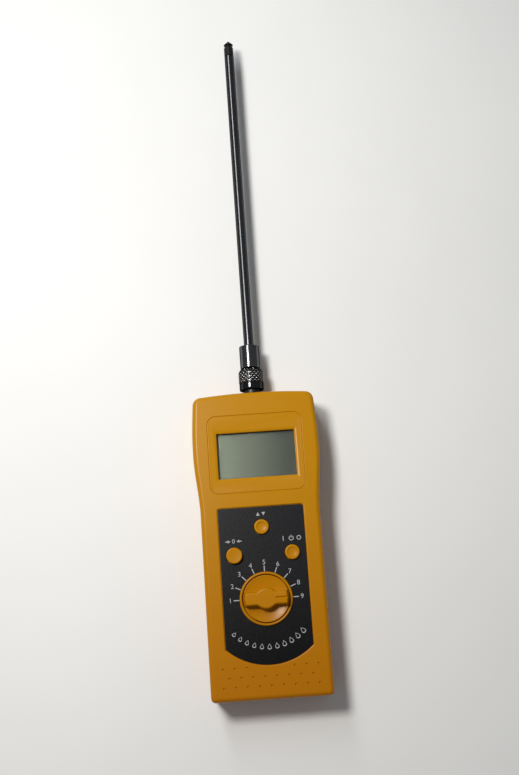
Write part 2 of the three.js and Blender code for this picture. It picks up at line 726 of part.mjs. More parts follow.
// ---------------------------------------------------------------- assembly
const meter = new THREE.Group();
meter.position.y = -overallLength / 2;
meter.add(
  piece('front_shell', frontShell(), yellowPlastic),
  piece('rear_shell', rearShell(), yellowPlastic),
  piece('battery_cover', batteryCover(), yellowPlastic),
  piece('battery_pad', batteryPad(), greyFoam),
  piece('display_window', displayWindow(), clearPlastic),
  piece('lcd_glass', lcdGlass(), lcdMaterial),
  piece('lcd_holder', lcdHolder(), whitePlastic),
  piece('contact_strip_1', contactStrip(-1), blackRubber),
  piece('contact_strip_2', contactStrip(1), blackRubber),
  piece('control_panel', controlPanel(), slatePrint),
  piece('selector_dial', selectorDial(), yellowPlastic),
  piece('switch_shaft', switchShaft(), zinc),
  piece('rotary_switch', rotarySwitch(), blackPlastic),
  piece('button_mode', button(buttonHoles[0], 1.4, 0.5), yellowPlastic),
  piece('button_zero', button(buttonHoles[1], 2.4, 0), yellowPlastic),
  piece('button_power', button(buttonHoles[2], 1.4, 0.5), yellowPlastic),
  piece('main_board', mainBoard(), boardGreen),
  piece('processor_chip', block(12, 12, boardSeat, boardSeat + 1.6, 0, 98.5), blackPlastic),
  piece('amplifier_chip', block(5, 4, boardSeat, boardSeat + 1.5, 14.5, 97), blackPlastic),
  piece('battery_9v', battery9v(), batteryCan),
  piece('battery_snap', batterySnap(), blackPlastic),
  piece('battery_lead_red', batteryLead(9, 25.2, 14), redWire),
  piece('battery_lead_black', batteryLead(12, 27, 18), blackWire),
  piece('rating_label', ratingLabel(), silverFoil),
  piece('socket_shell', socketShell(), chrome),
  piece('socket_washer', socketWasher(), zinc),
  piece('socket_nut', socketNut(), zinc),
  piece('socket_insulator', socketInsulator(), insulatorWhite),
  piece('socket_contact', socketContact(), brassGold),
  piece('signal_lead', signalLead(), redWire),
  piece('probe_tip', probeTip(), steel),
  piece('tip_insulator', tipInsulator(), blackPlastic),
  piece('probe_rod', probeRod(), steel),
  piece('inner_insulator', innerInsulator(), insulatorWhite),
  piece('inner_conductor', innerConductor(), brassGold),
  piece('probe_sleeve', probeSleeve(), chrome),
  piece('plug_body', plugBody(), chrome),
  piece('coupling_nut', couplingNut(), chrome),
);
buttonHoles.forEach(({ x, y }, i) => {
  const name = ['tact_switch_mode', 'tact_switch_zero', 'tact_switch_power'][i];
  meter.add(piece(name, tactSwitch(x, y), blackPlastic));
});
screwPlaces.forEach(([x, y], i) => meter.add(piece(`case_screw_${i + 1}`, caseScrew(x, y), zinc)));
boardScrewPlaces.forEach(([x, y], i) => meter.add(piece(`board_screw_${i + 1}`, boardScrew(x, y), zinc)));

const part = new THREE.Group();
part.add(meter);
export default part;
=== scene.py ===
"""Looks for the hand-held grain moisture meter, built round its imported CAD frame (Blender 4.5)."""
import math
from functools import partial

import bmesh
import bpy
from mathutils import Matrix, Vector


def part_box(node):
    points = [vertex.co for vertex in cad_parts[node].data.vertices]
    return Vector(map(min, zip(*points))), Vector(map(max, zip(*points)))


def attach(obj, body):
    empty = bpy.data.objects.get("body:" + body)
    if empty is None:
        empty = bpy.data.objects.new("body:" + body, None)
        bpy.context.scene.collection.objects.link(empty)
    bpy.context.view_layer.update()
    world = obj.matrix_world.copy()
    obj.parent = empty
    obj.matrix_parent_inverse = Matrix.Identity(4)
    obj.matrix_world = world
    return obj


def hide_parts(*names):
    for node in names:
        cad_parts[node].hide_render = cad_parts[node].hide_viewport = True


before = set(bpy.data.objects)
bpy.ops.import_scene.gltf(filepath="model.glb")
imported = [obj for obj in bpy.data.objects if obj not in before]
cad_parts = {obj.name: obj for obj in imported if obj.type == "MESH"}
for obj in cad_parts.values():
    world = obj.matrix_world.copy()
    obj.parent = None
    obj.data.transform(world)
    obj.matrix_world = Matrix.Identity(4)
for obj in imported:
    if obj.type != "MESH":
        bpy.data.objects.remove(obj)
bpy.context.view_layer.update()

# ---------------- driving dimensions
# Shapes are written in millimetres from the case's bottom end: x across, y along to the probe's tip, z up.
MM = 0.001
END_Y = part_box("front_shell")[0].y
BODY_LENGTH = (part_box("front_shell")[1].y - END_Y) / MM
FACE_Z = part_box("control_panel")[1].z / MM
TIP_Y = (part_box("probe_tip")[1].y - END_Y) / MM

# A turned solid closes on its axis with a tiny flat of this radius.
CORE = 0.05

HALF_WIDTH = 31.5
FOOT_HEIGHT = 0.8
WALL = 2.3
GAP = 0.3
PARTING_Z = 14.0
SEAM_CHAMFER = 0.25
FACE_ROUND = 2.6
BACK_ROUND_IN = 3.2
BACK_ROUND_UP = 3
CEILING_Z = FACE_Z - WALL
FLOOR_Z = FOOT_HEIGHT + WALL

DIAL_Y = 50.4
DIAL_RADIUS = 12.0
DIAL_BASE = 25.5
DIAL_RIM = FACE_Z + 1.5
DISH_FLOOR = FACE_Z - 0.1
BAR_TOP = FACE_Z + 6.5
BAR_HALF = 3.6
HUB_RADIUS = 5.6
COLLAR_INNER = 12.45
COLLAR_OUTER = 13.7
COLLAR_TOP = FACE_Z + 1.1

WINDOW_Y = 126.0
WINDOW_SIZE = (41.5, 24.4)
BEZEL_Y = 126.6
BEZEL_SIZE = (50.4, 41.6)
BEZEL_CORNER = 4.6

PANEL_TOP = 98.3
PANEL_HALF_WIDTH = 22.8
PANEL_RADIUS = 33.4
PANEL_FACE = FACE_Z - 0.25
INK_LOW = PANEL_FACE - 0.01
INK_TOP = PANEL_FACE + 0.03

COVER_LENGTH = 39.0
COVER_HALF_WIDTH = 25.5
COVER_CORNER = 4.0
LOWER_SCREW_Y = COVER_LENGTH - 2.9
SCREWS = ((26.2, 130.0), (-26.2, 130.0), (20.0, LOWER_SCREW_Y), (-20.0, LOWER_SCREW_Y))
LABEL_Y = BODY_LENGTH - 58.5
LABEL_SIZE = (36, 26)

PROBE_Z = PARTING_Z
SOCKET_BORE = 4.9
SOCKET_END = BODY_LENGTH + 11.0
ROD_RADIUS = 2.7
SLEEVE_RADIUS = 5.5
NUT_RADIUS = 6.95
NUT_LOW = BODY_LENGTH + 3.4
NUT_HIGH = NUT_LOW + 11.4
KNURL_LOW = NUT_LOW + 3.6
KNURL_COUNT = 20
SLEEVE_HIGH = NUT_HIGH + 13.5
TIP_COLLAR_END = TIP_Y - 3.2
TIP_COLLAR_START = TIP_COLLAR_END - 6.8

# Each button's x, y, radius, top height and whether it has a dish in its top.
BUTTONS = {
    "button_mode": (0.0, 87.4, 3.85, FACE_Z + 1.4, True),
    "button_zero": (-15.1, 73.3, 4.15, FACE_Z + 2.4, False),
    "button_power": (15.1, 73.3, 3.85, FACE_Z + 1.4, True),
}


# ---------------- camera
def link_object(name, data):
    """Puts a new object with this data in the scene."""
    obj = bpy.data.objects.new(name, data)
    bpy.context.scene.collection.objects.link(obj)
    return obj


def make_camera():
    """The photograph's viewpoint: high above the face, leaning back towards the bottom end."""
    tilt, turn, roll = (math.radians(degrees) for degrees in (12.54, -3.52, -0.41))
    distance = 0.5916
    aim = Vector((0.0041, END_Y + 161.9 * MM, FACE_Z * MM))
    data = bpy.data.cameras.new("camera")
    data.lens = 51.1
    data.sensor_width = 36.0
    data.clip_start = 0.01
    camera = link_object("camera", data)
    stance = Matrix.Rotation(turn, 4, "Z") @ Matrix.Rotation(tilt, 4, "X") @ Matrix.Rotation(roll, 4, "Z")
    back = stance.to_3x3() @ Vector((0, 0, distance))
    camera.matrix_world = Matrix.Translation(aim + back) @ stance
    bpy.context.scene.camera = camera
    bpy.context.scene.view_settings.view_transform = "Standard"


make_camera()


# ---------------- mesh helpers
def make_object(name, points, faces):
    """A mesh object from points in millimetres in the case's own coordinates."""
    mesh = bpy.data.meshes.new(name)
    mesh.from_pydata([(x * MM, END_Y + y * MM, z * MM) for x, y, z in points], [], faces)
    made = bmesh.new()
    made.from_mesh(mesh)
    bmesh.ops.remove_doubles(made, verts=made.verts, dist=1e-7)
    bmesh.ops.recalc_face_normals(made, faces=made.faces)
    made.to_mesh(mesh)
    made.free()
    return link_object(name, mesh)


def loft(name, rings, closed=False):
    """A solid through rings of equal length. Its two ends are capped, or joined if closed."""
    count, levels = len(rings[0]), len(rings)
    points = [point for ring in rings for point in ring]
    faces = []
    for level in range(levels if closed else levels - 1):
        after = (level + 1) % levels
        for i in range(count):
            j = (i + 1) % count
            faces.append((level * count + i, level * count + j, after * count + j, after * count + i))
    if not closed:
        faces.append(tuple(reversed(range(count))))
        faces.append(tuple((levels - 1) * count + i for i in range(count)))
    return make_object(name, points, faces)


def turned(name, profile, centre, axis="Z", segments=64, closed=False):
    """A solid turned from (radius, height) pairs, about Z at (x, y) or about Y at (x, z)."""
    rings = []
    for radius, height in profile:
        ring = []
        for i in range(segments):
            angle = 2 * math.pi * i / segments
            a, b = radius * math.cos(angle), radius * math.sin(angle)
            if axis == "Z":
                ring.append((centre[0] + a, centre[1] + b, height))
            else:
                ring.append((centre[0] + a, height, centre[1] - b))
        rings.append(ring)
    return loft(name, rings, closed)


def turned_tube(name, profile, segments=72):
    """A ring-shaped solid about the probe's axis: the (radius, y) list closes on itself."""
    return turned(name, profile, (0, PROBE_Z), "Y", segments, closed=True)


def arc(centre, radius, start, end, steps):
    """Points on an arc, angles in degrees."""
    angles = [math.radians(start + (end - start) * i / steps) for i in range(steps + 1)]
    return [(centre[0] + radius * math.cos(a), centre[1] + radius * math.sin(a)) for a in angles]


def rounded_rect(width, height, radius, cx=0.0, cy=0.0, steps=8):
    """An outline function: inset in, points out."""
    def outline(inset):
        w, h = width / 2 - inset, height / 2 - inset
        r = max(radius - inset, 0.05)
        right, left, top, bottom = cx + w - r, cx - w + r, cy + h - r, cy - h + r
        points = []
        for x, y, start in ((right, bottom, -90), (right, top, 0), (left, top, 90), (left, bottom, 180)):
            points += arc((x, y), r, start, start + 90, steps)
        return points
    return outline


def circle(radius, cx, cy, segments=64):
    """A round outline function: inset in, points out."""
    def outline(inset):
        return arc((cx, cy), radius - inset, 0, 360 - 360 / segments, segments - 1)
    return outline


def box_of(node):
    """The corners of a CAD node's box, in this script's millimetres."""
    return [Vector((corner.x, corner.y - END_Y, corner.z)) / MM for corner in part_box(node)]


def stack(name, outline, levels, closed=False):
    """A solid through one outline at several heights: levels are (z, inset)."""
    return loft(name, [[(x, y, z) for x, y in outline(inset)] for z, inset in levels], closed)


def block(name, low, high):
    """A box between two corners, its upright edges barely rounded."""
    width, length = high[0] - low[0], high[1] - low[1]
    centre = ((high[0] + low[0]) / 2, (high[1] + low[1]) / 2)
    outline = rounded_rect(width, length, 0.05, *centre, 1)
    return stack(name, outline, [(low[2], 0), (high[2], 0)])


def peg(radius, low, high, x, y, segments=48):
    """An upright round solid, to cut a hole with or to add as a boss."""
    return stack("peg", circle(radius, x, y, segments), [(low, 0), (high, 0)])


def quarter_round(steps):
    """Rise and inset of a lower edge of radius 1."""
    angles = [math.pi / 2 * i / steps for i in range(steps + 1)]
    return [(1 - math.cos(angle), 1 - math.sin(angle)) for angle in angles]


def rounded_levels(low, high, low_round, high_round, steps=4):
    """Heights and insets of a plate with rounded lower and upper edges."""
    edge = quarter_round(steps)
    low_edge = edge if low_round else edge[:1]
    high_edge = edge if high_round else edge[:1]
    levels = [(low + low_round * rise, low_round * inset) for rise, inset in low_edge]
    return levels + [(high - high_round * inset, high_round * rise) for rise, inset in high_edge]


def join(name, objects):
    """One object from several that don't touch."""
    joined = bmesh.new()
    for obj in objects:
        joined.from_mesh(obj.data)
    mesh = bpy.data.meshes.new(name)
    joined.to_mesh(mesh)
    joined.free()
    for obj in objects:
        bpy.data.objects.remove(obj)
    return link_object(name, mesh)


def combine(operation, target, *tools):
    """Joins each tool's shape with target by the boolean operation, then drops the tool."""
    for tool in tools:
        step = target.modifiers.new("combine", "BOOLEAN")
        step.operation = operation
        step.solver = "EXACT"
        step.object = tool
        graph = bpy.context.evaluated_depsgraph_get()
        mesh = bpy.data.meshes.new_from_object(target.evaluated_get(graph))
        target.modifiers.clear()
        mesh.name = target.name
        target.data = mesh
        bpy.data.objects.remove(tool)
    return target


cut = partial(combine, "DIFFERENCE")
add = partial(combine, "UNION")
overlap = partial(combine, "INTERSECT")


def soften(obj, angle):
    """Smooth shading that stays crisp at edges above angle, and flat on flats."""
    obj.data.shade_smooth()
    obj.data.set_sharp_from_angle(angle=math.radians(angle))
    weighted = obj.modifiers.new("weighted", "WEIGHTED_NORMAL")
    weighted.keep_sharp = True
    weighted.weight = 80


def place(obj, material, body, slot, *nodes, crisp=35):
    """Gives a piece its shading and material, puts it on its body and hides the CAD nodes it stands for.
    slot is not used.
    """
    if crisp:
        soften(obj, crisp)
    obj.data.materials.clear()
    obj.data.materials.append(material)
    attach(obj, body)
    if nodes:
        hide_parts(*nodes)
    return obj


# ---------------- materials
DARK_EDGE = (0.15, 0.15, 0.15, 1)
SCRATCH_DEPTH = 0.000004


class Shader:
    """A short way to write a node material."""

    def __init__(self, name, **sockets):
        self.material = bpy.data.materials.new(name)
        self.material.use_nodes = True
        self.tree = self.material.node_tree
        self.principled = self.tree.nodes["Principled BSDF"]
        self.coords = self.node("TexCoord").outputs["Object"]
        for socket, value in sockets.items():
            self.principled.inputs[socket.replace("_", " ")].default_value = value

    def node(self, kind, sockets=None, **settings):
        """A new node. Each of its sockets gets a value or a link from another node's output."""
        made = self.tree.nodes.new("ShaderNode" + kind)
        for key, value in settings.items():
            setattr(made, key, value)
        for socket, value in (sockets or {}).items():
            if isinstance(value, bpy.types.NodeSocket):
                self.link(value, made.inputs[socket])
            else:
                made.inputs[socket].default_value = value
        return made

    def link(self, source, target):
        self.tree.links.new(source, target)

    def mapped(self, scale, location=(0, 0, 0)):
        """The object's coordinates, scaled and then moved."""
        sockets = {"Scale": scale, "Location": location, "Vector": self.coords}
        return self.node("Mapping", sockets).outputs["Vector"]

    def noise(self, scale, detail=3.0, stretch=(1, 1, 1)):
        """Noise in object space. scale is in features per metre."""
        sockets = {"Scale": scale, "Detail": detail, "Vector": self.mapped(stretch)}
        return self.node("TexNoise", sockets).outputs["Fac"]

    def share(self, source, start, end):
        """0 where source reads start, rising to 1 where it reads end."""
        sockets = {"From Min": start, "From Max": end, "Value": source}
        return self.node("MapRange", sockets).outputs["Result"]

    def along(self, axis, start, end):
        """0 where the axis reads start, rising to 1 where it reads end."""
        split = self.node("SeparateXYZ", {"Vector": self.coords})
        return self.share(split.outputs[axis], start, end)

    def sum(self, first, share, second):
        """share times first, plus second."""
        sockets = {0: first, 1: share, 2: second}
        return self.node("Math", sockets, operation="MULTIPLY_ADD").outputs["Value"]

    def ramp(self, source, low, high, start=0.3, end=0.7):
        """Colour or value between low and high as source goes from start to end."""
        made = self.node("ValToRGB", {"Fac": source})
        for element, position, value in zip(made.color_ramp.elements, (start, end), (low, high)):
            element.position = position
            element.color = (*value, 1) if isinstance(value, tuple) else (value, value, value, 1)
        return made.outputs["Color"]

    def base(self, source):
        self.link(source, self.principled.inputs["Base Color"])

    def rough(self, source, low, high, start=0.3, end=0.7):
        self.link(self.ramp(source, low, high, start, end), self.principled.inputs["Roughness"])

    def bump(self, source, distance, strength=1.0, before=None):
        sockets = {"Strength": strength, "Distance": distance, "Height": source}
        if before is not None:
            sockets["Normal"] = before
        normal = self.node("Bump", sockets).outputs["Normal"]
        self.link(normal, self.principled.inputs["Normal"])
        return normal


def yellow_plastic(name, grain_depth):
    """Amber moulded plastic with a fine grain, and painted shade that makes it darker towards the bottom
    end.
    """
    shader = Shader(name, Specular_IOR_Level=0.17)
    # Random mottle plus painted shade: the base colour darkens along the length towards the bottom end.
    mottle_and_painted_shade = shader.sum(shader.noise(90, 4), 0.12, shader.along("Y", END_Y, END_Y + BODY_LENGTH * MM))
    shader.base(shader.ramp(mottle_and_painted_shade, (0.436, 0.149, 0.0006), (0.514, 0.226, 0.0010), 0.0, 0.8))
    shader.rough(shader.noise(2500, 3), 0.24, 0.30)
    grain = shader.bump(shader.noise(4200, 2), grain_depth, 0.35)
    shader.bump(shader.noise(160, 2), 2 * grain_depth, 0.1, grain)
    return shader.material


def slate_print():
    """Satin slate overlay with a fine film texture, and painted shade that makes it darker towards the
    bottom end.
    """
    shader = Shader("slate_print", Specular_IOR_Level=0.2)
    # Random mottle plus painted shade: the base colour darkens along the length towards the bottom end.
    mottle_and_painted_shade = shader.sum(shader.noise(140, 4), 0.2, shader.along("Y", END_Y, END_Y + PANEL_TOP * MM))
    shader.base(shader.ramp(mottle_and_painted_shade, (0.0015, 0.0017, 0.0024), (0.0115, 0.0120, 0.0145), 0.25, 0.85))
    shader.rough(shader.noise(900, 2), 0.26, 0.36)
    shader.bump(shader.noise(6000, 2), 0.00002, 0.35)
    return shader.material


def pale_ink():
    """Pale grey screen print."""
    shader = Shader("pale_ink", Roughness=0.5)
    shader.base(shader.ramp(shader.noise(3000, 2), (0.34, 0.35, 0.37), (0.46, 0.47, 0.49)))
    shader.bump(shader.noise(9000, 2), 0.00001, 0.3)
    return shader.material


def plastic(name, low, high, rough_low=0.45, rough_high=0.6, grain=5000):
    """Moulded plastic, rubber, foam or lacquer between two colours."""
    shader = Shader(name, Specular_IOR_Level=0.25)
    shader.base(shader.ramp(shader.noise(300, 3), low, high))
    shader.rough(shader.noise(900, 2), rough_low, rough_high)
    shader.bump(shader.noise(grain, 2), 0.00002, 0.4)
    return shader.material


def metal(name, colour, rough_low, rough_high, stretch=(1, 1, 1), scale=2500):
    """Bare or plated metal with fine scratches. Its grazing edges stay dark."""
    shader = Shader(name, Metallic=1.0, Specular_Tint=DARK_EDGE)
    darker = tuple(0.86 * channel for channel in colour)
    shader.base(shader.ramp(shader.noise(220, 4), darker, colour, 0.25, 0.6))
    scratches = shader.noise(scale, 4, stretch)
    shader.rough(scratches, rough_low, rough_high)
    shader.bump(scratches, SCRATCH_DEPTH, 0.5)
    return shader.material


def knurled_chrome():
    """Plated knurling with painted shade: dark down in the grooves and on the skirt, bright on the studs.
    """
    shader = Shader("knurled_chrome", Metallic=1.0, Specular_Tint=DARK_EDGE)
    from_axis = shader.mapped((1, 0, 1), (0, 0, -PROBE_Z * MM))
    radius = shader.node("VectorMath", {0: from_axis}, operation="LENGTH")
    height = shader.share(radius.outputs["Value"], (NUT_RADIUS - 0.3) * MM, (NUT_RADIUS - 0.03) * MM)
    # Painted shade: the base colour darkens from the studs down into the grooves and over the skirt.
    shader.base(shader.ramp(height, (0.06, 0.062, 0.064), (0.95, 0.95, 0.95), 0.25, 0.95))
    shader.rough(height, 0.13, 0.3, 0.0, 0.4)
    shader.bump(shader.noise(2500, 4), 0.000003, 0.5)
    return shader.material


def clear_window():
    """Clear acrylic. Lamps shine through it on to the display."""
    sockets = {"Transmission_Weight": 1.0, "Base_Color": (0.96, 0.98, 0.95, 1)}
    shader = Shader("clear_window", Roughness=0.03, IOR=1.49, **sockets)
    shader.bump(shader.noise(120, 2), 0.000003, 0.1)
    shadow = shader.node("LightPath").outputs["Is Shadow Ray"]
    through = shader.node("BsdfTransparent").outputs["BSDF"]
    chooser = shader.node("MixShader", {0: shadow, 1: shader.principled.outputs["BSDF"], 2: through})
    shader.link(chooser.outputs["Shader"], shader.tree.nodes["Material Output"].inputs["Surface"])
    return shader.material


def lcd_surface():
    """Grey-green reflective display, with a painted reflection that makes it lighter on one side and darker
    on the other.
    """
    shader = Shader("lcd", IOR=1.5, Roughness=0.22)
    half_width = WINDOW_SIZE[0] / 2 * MM
    # Painted reflection: the base colour darkens from one side of the display to the other.
    across = shader.along("X", -half_width, half_width)
    shader.base(shader.ramp(across, (0.084, 0.098, 0.074), (0.022, 0.026, 0.020), 0.1, 0.95))
    shader.bump(shader.noise(5000, 2), 0.000008, 0.3)
    return shader.material


def silver_label():
    """Brushed foil: the lines run along the label's length."""
    shader = Shader("silver_label", Metallic=0.55, Roughness=0.4)
    lines = shader.noise(1500, 3, (1, 14, 1))
    shader.base(shader.ramp(lines, (0.46, 0.46, 0.48), (0.62, 0.62, 0.64)))
    shader.bump(lines, 0.00001, 0.4)
    return shader.material


def battery_wrap():
    """Printed can: dark, with one plain coloured band."""
    shader = Shader("battery_can", Metallic=0.3, Roughness=0.32)
    along = shader.along("X", *(corner.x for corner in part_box("battery_9v")))
    band = shader.ramp(along, (0.02, 0.025, 0.035), (0.42, 0.20, 0.03), 0.0, 0.68)
    band.node.color_ramp.interpolation = "CONSTANT"
    shader.base(band)
    shader.bump(shader.noise(1500, 3), 0.00002, 0.3)
    return shader.material


def floor_surface():
    """Pale matt paper."""
    shader = Shader("floor", Roughness=0.6)
    shader.base(shader.ramp(shader.noise(6, 3), (0.86, 0.86, 0.86), (0.90, 0.90, 0.90)))
    return shader.material


YELLOW = yellow_plastic("yellow_plastic", 0.00002)
SMOOTH_YELLOW = yellow_plastic("smooth_yellow_plastic", 0.00001)
SLATE = slate_print()
INK = pale_ink()
BLACK = plastic("black_plastic", (0.005, 0.005, 0.0055), (0.009, 0.009, 0.0095))
WHITE = plastic("white_plastic", (0.62, 0.61, 0.57), (0.70, 0.69, 0.65))
RUBBER = plastic("black_rubber", (0.008, 0.008, 0.008), (0.014, 0.014, 0.014), 0.75, 0.9)
FOAM = plastic("grey_foam", (0.03, 0.03, 0.032), (0.06, 0.06, 0.063), 0.85, 0.98, 1800)
BOARD = plastic("green_board", (0.008, 0.085, 0.028), (0.015, 0.12, 0.04), 0.3, 0.45)
RED_WIRE = plastic("red_wire", (0.38, 0.012, 0.008), (0.46, 0.018, 0.012), 0.35, 0.5)
BLACK_WIRE = plastic("black_wire", (0.009, 0.009, 0.009), (0.014, 0.014, 0.014), 0.35, 0.5)
INSULATOR = plastic("white_insulator", (0.72, 0.70, 0.64), (0.80, 0.78, 0.72), 0.3, 0.42)
CHROME = metal("chrome", (0.16, 0.165, 0.17), 0.10, 0.18)
KNURLED = knurled_chrome()
# A darker copy of the chrome for the socket under the nut. Its dark colour is painted shade; its higher
# roughness is a real dull finish.
SHADED_DULL_CHROME = metal("shaded_dull_chrome", (0.06, 0.06, 0.062), 0.4, 0.55)
STEEL = metal("polished_steel", (0.11, 0.11, 0.115), 0.14, 0.22, (12, 1, 12), 900)
ZINC = metal("zinc_steel", (0.36, 0.36, 0.38), 0.3, 0.45)
BRASS = metal("gold_brass", (0.72, 0.50, 0.18), 0.2, 0.32)
WINDOW = clear_window()
LCD = lcd_surface()
LABEL = silver_label()
BATTERY = battery_wrap()


# ---------------- outline of the case
def smooth(low, high, value):
    """0 up to low, 1 from high on, and an S-curve between them."""
    t = min(max((value - low) / (high - low), 0.0), 1.0)
    return t * t * (3 - 2 * t)


def case_half_width(y, grip):
    """Half the case's width. grip is 0 at the face and 1 at the back, where it has a waist."""
    head_swell, end_share = 2.25 + grip * 0.6, 0.75
    waist_y, waist_reach, waist_depth = 82, 37, 2.1
    swell = smooth(95, 128, y) * (1 - end_share * smooth(133, 167, y))
    from_waist = min(abs(y - waist_y) / waist_reach, 1.0)
    waist = grip * waist_depth * 0.5 * (1 + math.cos(math.pi * from_waist))
    return HALF_WIDTH + swell * head_swell - waist


def case_ring(z, inset, grip, side_steps=64, corner_steps=8, top_steps=24):
    """The case's outline at one height: straight bottom end, swelling sides and a crowned head."""
    bottom_radius = max(2.5 - inset, 0.6)
    top_radius = max(4.5 - inset, 1.0)
    crown = 1.2
    high = BODY_LENGTH - crown - inset

    def corner(radius, y, start):
        x = case_half_width(y, grip) - inset - radius
        return arc((x, y), radius, start, start + 90, corner_steps)

    side = corner(bottom_radius, inset + bottom_radius, -90)
    low_y, high_y = side[-1][1], high - top_radius
    heights = [low_y + (high_y - low_y) * i / side_steps for i in range(1, side_steps)]
    side += [(case_half_width(y, grip) - inset, y) for y in heights]
    side += corner(top_radius, high_y, 0)
    shoulder = side[-1][0]
    shares = [1 - 2 * i / top_steps for i in range(1, top_steps)]
    top = [(share * shoulder, high + crown * (1 - share * share)) for share in shares]
    left = [(-x, y) for x, y in reversed(side)]
    return [(x, y, z) for x, y in side + top + left]


def grip_at(z):
    """1 at the back and 0 from the parting line up."""
    low = FOOT_HEIGHT + BACK_ROUND_UP
    t = min(max((z - low) / (PARTING_Z - low), 0.0), 1.0)
    return 0.5 * (1 + math.cos(math.pi * t))


def case_loft(name, levels):
    """A solid in the case's outline: levels are (z, inset)."""
    return loft(name, [case_ring(z, inset, grip_at(z)) for z, inset in levels])


def hollow(levels):
    """The space inside a shell: levels are (z, inset, grip)."""
    side_steps, corner_steps, top_steps = 32, 4, 12
    return loft("hollow", [case_ring(*level, side_steps, corner_steps, top_steps) for level in levels])


def face_levels(low):
    """Heights and insets of the front shell, from its parting edge to its rounded face edge."""
    return [(low, SEAM_CHAMFER)] + rounded_levels(low + SEAM_CHAMFER, FACE_Z, 0, FACE_ROUND, 8)


def back_levels(high, steps=8):
    """Heights and insets of the rear shell, from its back to its parting edge."""
    edge = quarter_round(steps)
    levels = [(FOOT_HEIGHT + BACK_ROUND_UP * rise, BACK_ROUND_IN * inset) for rise, inset in edge]
    low = levels[-1][0]
    levels += [(low + (high - SEAM_CHAMFER - low) * i / steps, 0.0) for i in range(1, steps + 1)]
    return levels + [(high, SEAM_CHAMFER)]


# ---------------- front shell
bezel_outline = rounded_rect(*BEZEL_SIZE, BEZEL_CORNER, 0, BEZEL_Y, 12)


def panel_outline(inset):
    """The printed panel: straight sides and a round lower edge about the dial."""
    half = PANEL_HALF_WIDTH - inset
    radius = PANEL_RADIUS - inset
    corner = max(1.5 - inset, 0.3)
    reach = math.degrees(math.asin(half / radius))
    top = PANEL_TOP - inset
    points = arc((0, DIAL_Y), radius, -90 - reach, -90 + reach, 48)
    points += arc((half - corner, top - corner), corner, 0, 90, 6)
    points += arc((corner - half, top - corner), corner, 90, 180, 6)
    return points


def panel_recess():
    """The panel's seat, with a lip that slopes out to the face."""
    levels = [(-0.8, 0), (-0.26, 0), (-0.18, -0.06), (-0.12, -0.2), (0.01, -0.65), (1, -0.65)]
    return stack("recess", panel_outline, [(FACE_Z + z, inset) for z, inset in levels])


def bezel_cutter():
    """Four mitred sides, nearly flat from the outline and then steeper down to the window."""
    def ring(width, height, y, z):
        return [(a * width / 2, y + b * height / 2, z) for a, b in ((1, -1), (1, 1), (-1, 1), (-1, -1))]

    margin, steep_z, outline_z, beyond = 1.6, FACE_Z - 0.28, FACE_Z - 0.08, 1.25
    steep = (WINDOW_SIZE[0] + 2 * margin, WINDOW_SIZE[1] + 2 * margin)
    past = [low + beyond * (high - low) for low, high in zip(steep, BEZEL_SIZE)]
    past_y = WINDOW_Y + beyond * (BEZEL_Y - WINDOW_Y)
    past_z = steep_z + beyond * (outline_z - steep_z)
    rings = [ring(*WINDOW_SIZE, WINDOW_Y, FACE_Z - 1.0), ring(*steep, WINDOW_Y, steep_z)]
    rings += [ring(*past, past_y, past_z), ring(*past, past_y, FACE_Z + 2)]
    limit = stack("limit", bezel_outline, [(FACE_Z - 2, 0), (FACE_Z + 1, 0)])
    return overlap(loft("slopes", rings), limit)


def groove_cutter():
    """A thin round-bottomed groove round the bezel."""
    radius = 0.45
    section = [math.radians(degrees) for degrees in range(0, 360, 30)]
    levels = [(FACE_Z + radius * math.sin(a), radius * math.cos(a)) for a in section]
    return stack("groove", bezel_outline, levels, closed=True)


def window_cutter():
    """The window's opening, a little wider under the bezel's lower edge."""
    outline = rounded_rect(*WINDOW_SIZE, 0.4, 0, WINDOW_Y, 4)
    levels = [(CEILING_Z - 5, 0), (FACE_Z - 1.12, 0), (FACE_Z - 0.9, -0.15), (FACE_Z, -0.15)]
    return stack("window", outline, levels)


def pits_cutter():
    """Three rows of small pits. The highest row is broken by the panel."""
    pitch, radius = 6.1, 0.55
    rows = ((16.3, (-4, -3, -2, 2, 3, 4)), (11.6, [i - 3.5 for i in range(8)]), (6.9, range(-4, 5)))
    profile = [(0.02, FACE_Z - 0.6), (0.3, FACE_Z - 0.52), (0.47, FACE_Z - 0.3), (radius, FACE_Z - 0.1)]
    profile += [(radius + 0.12, FACE_Z + 0.005), (radius + 0.12, FACE_Z + 0.5)]
    places = [(column * pitch, y) for y, columns in rows for column in columns]
    return join("pits", [turned("pit", profile, centre, segments=20) for centre in places])


def collar_ring():
    """The raised collar round the dial, round across its top."""
    radius = (COLLAR_OUTER - COLLAR_INNER) / 2
    profile = [(COLLAR_OUTER, FACE_Z - 1)]
    profile += arc((COLLAR_INNER + radius, COLLAR_TOP - radius), radius, 0, 180, 12)
    profile += [(COLLAR_INNER, FACE_Z - 1)]
    return turned("collar", profile, (0, DIAL_Y), segments=96, closed=True)


def socket_hole():
    """The hole in the head's end wall that the probe's socket sits in."""
    profile = [(SOCKET_BORE, BODY_LENGTH - 8), (SOCKET_BORE, BODY_LENGTH + 1)]
    return turned("socket_hole", profile, (0, PROBE_Z), "Y", 48)


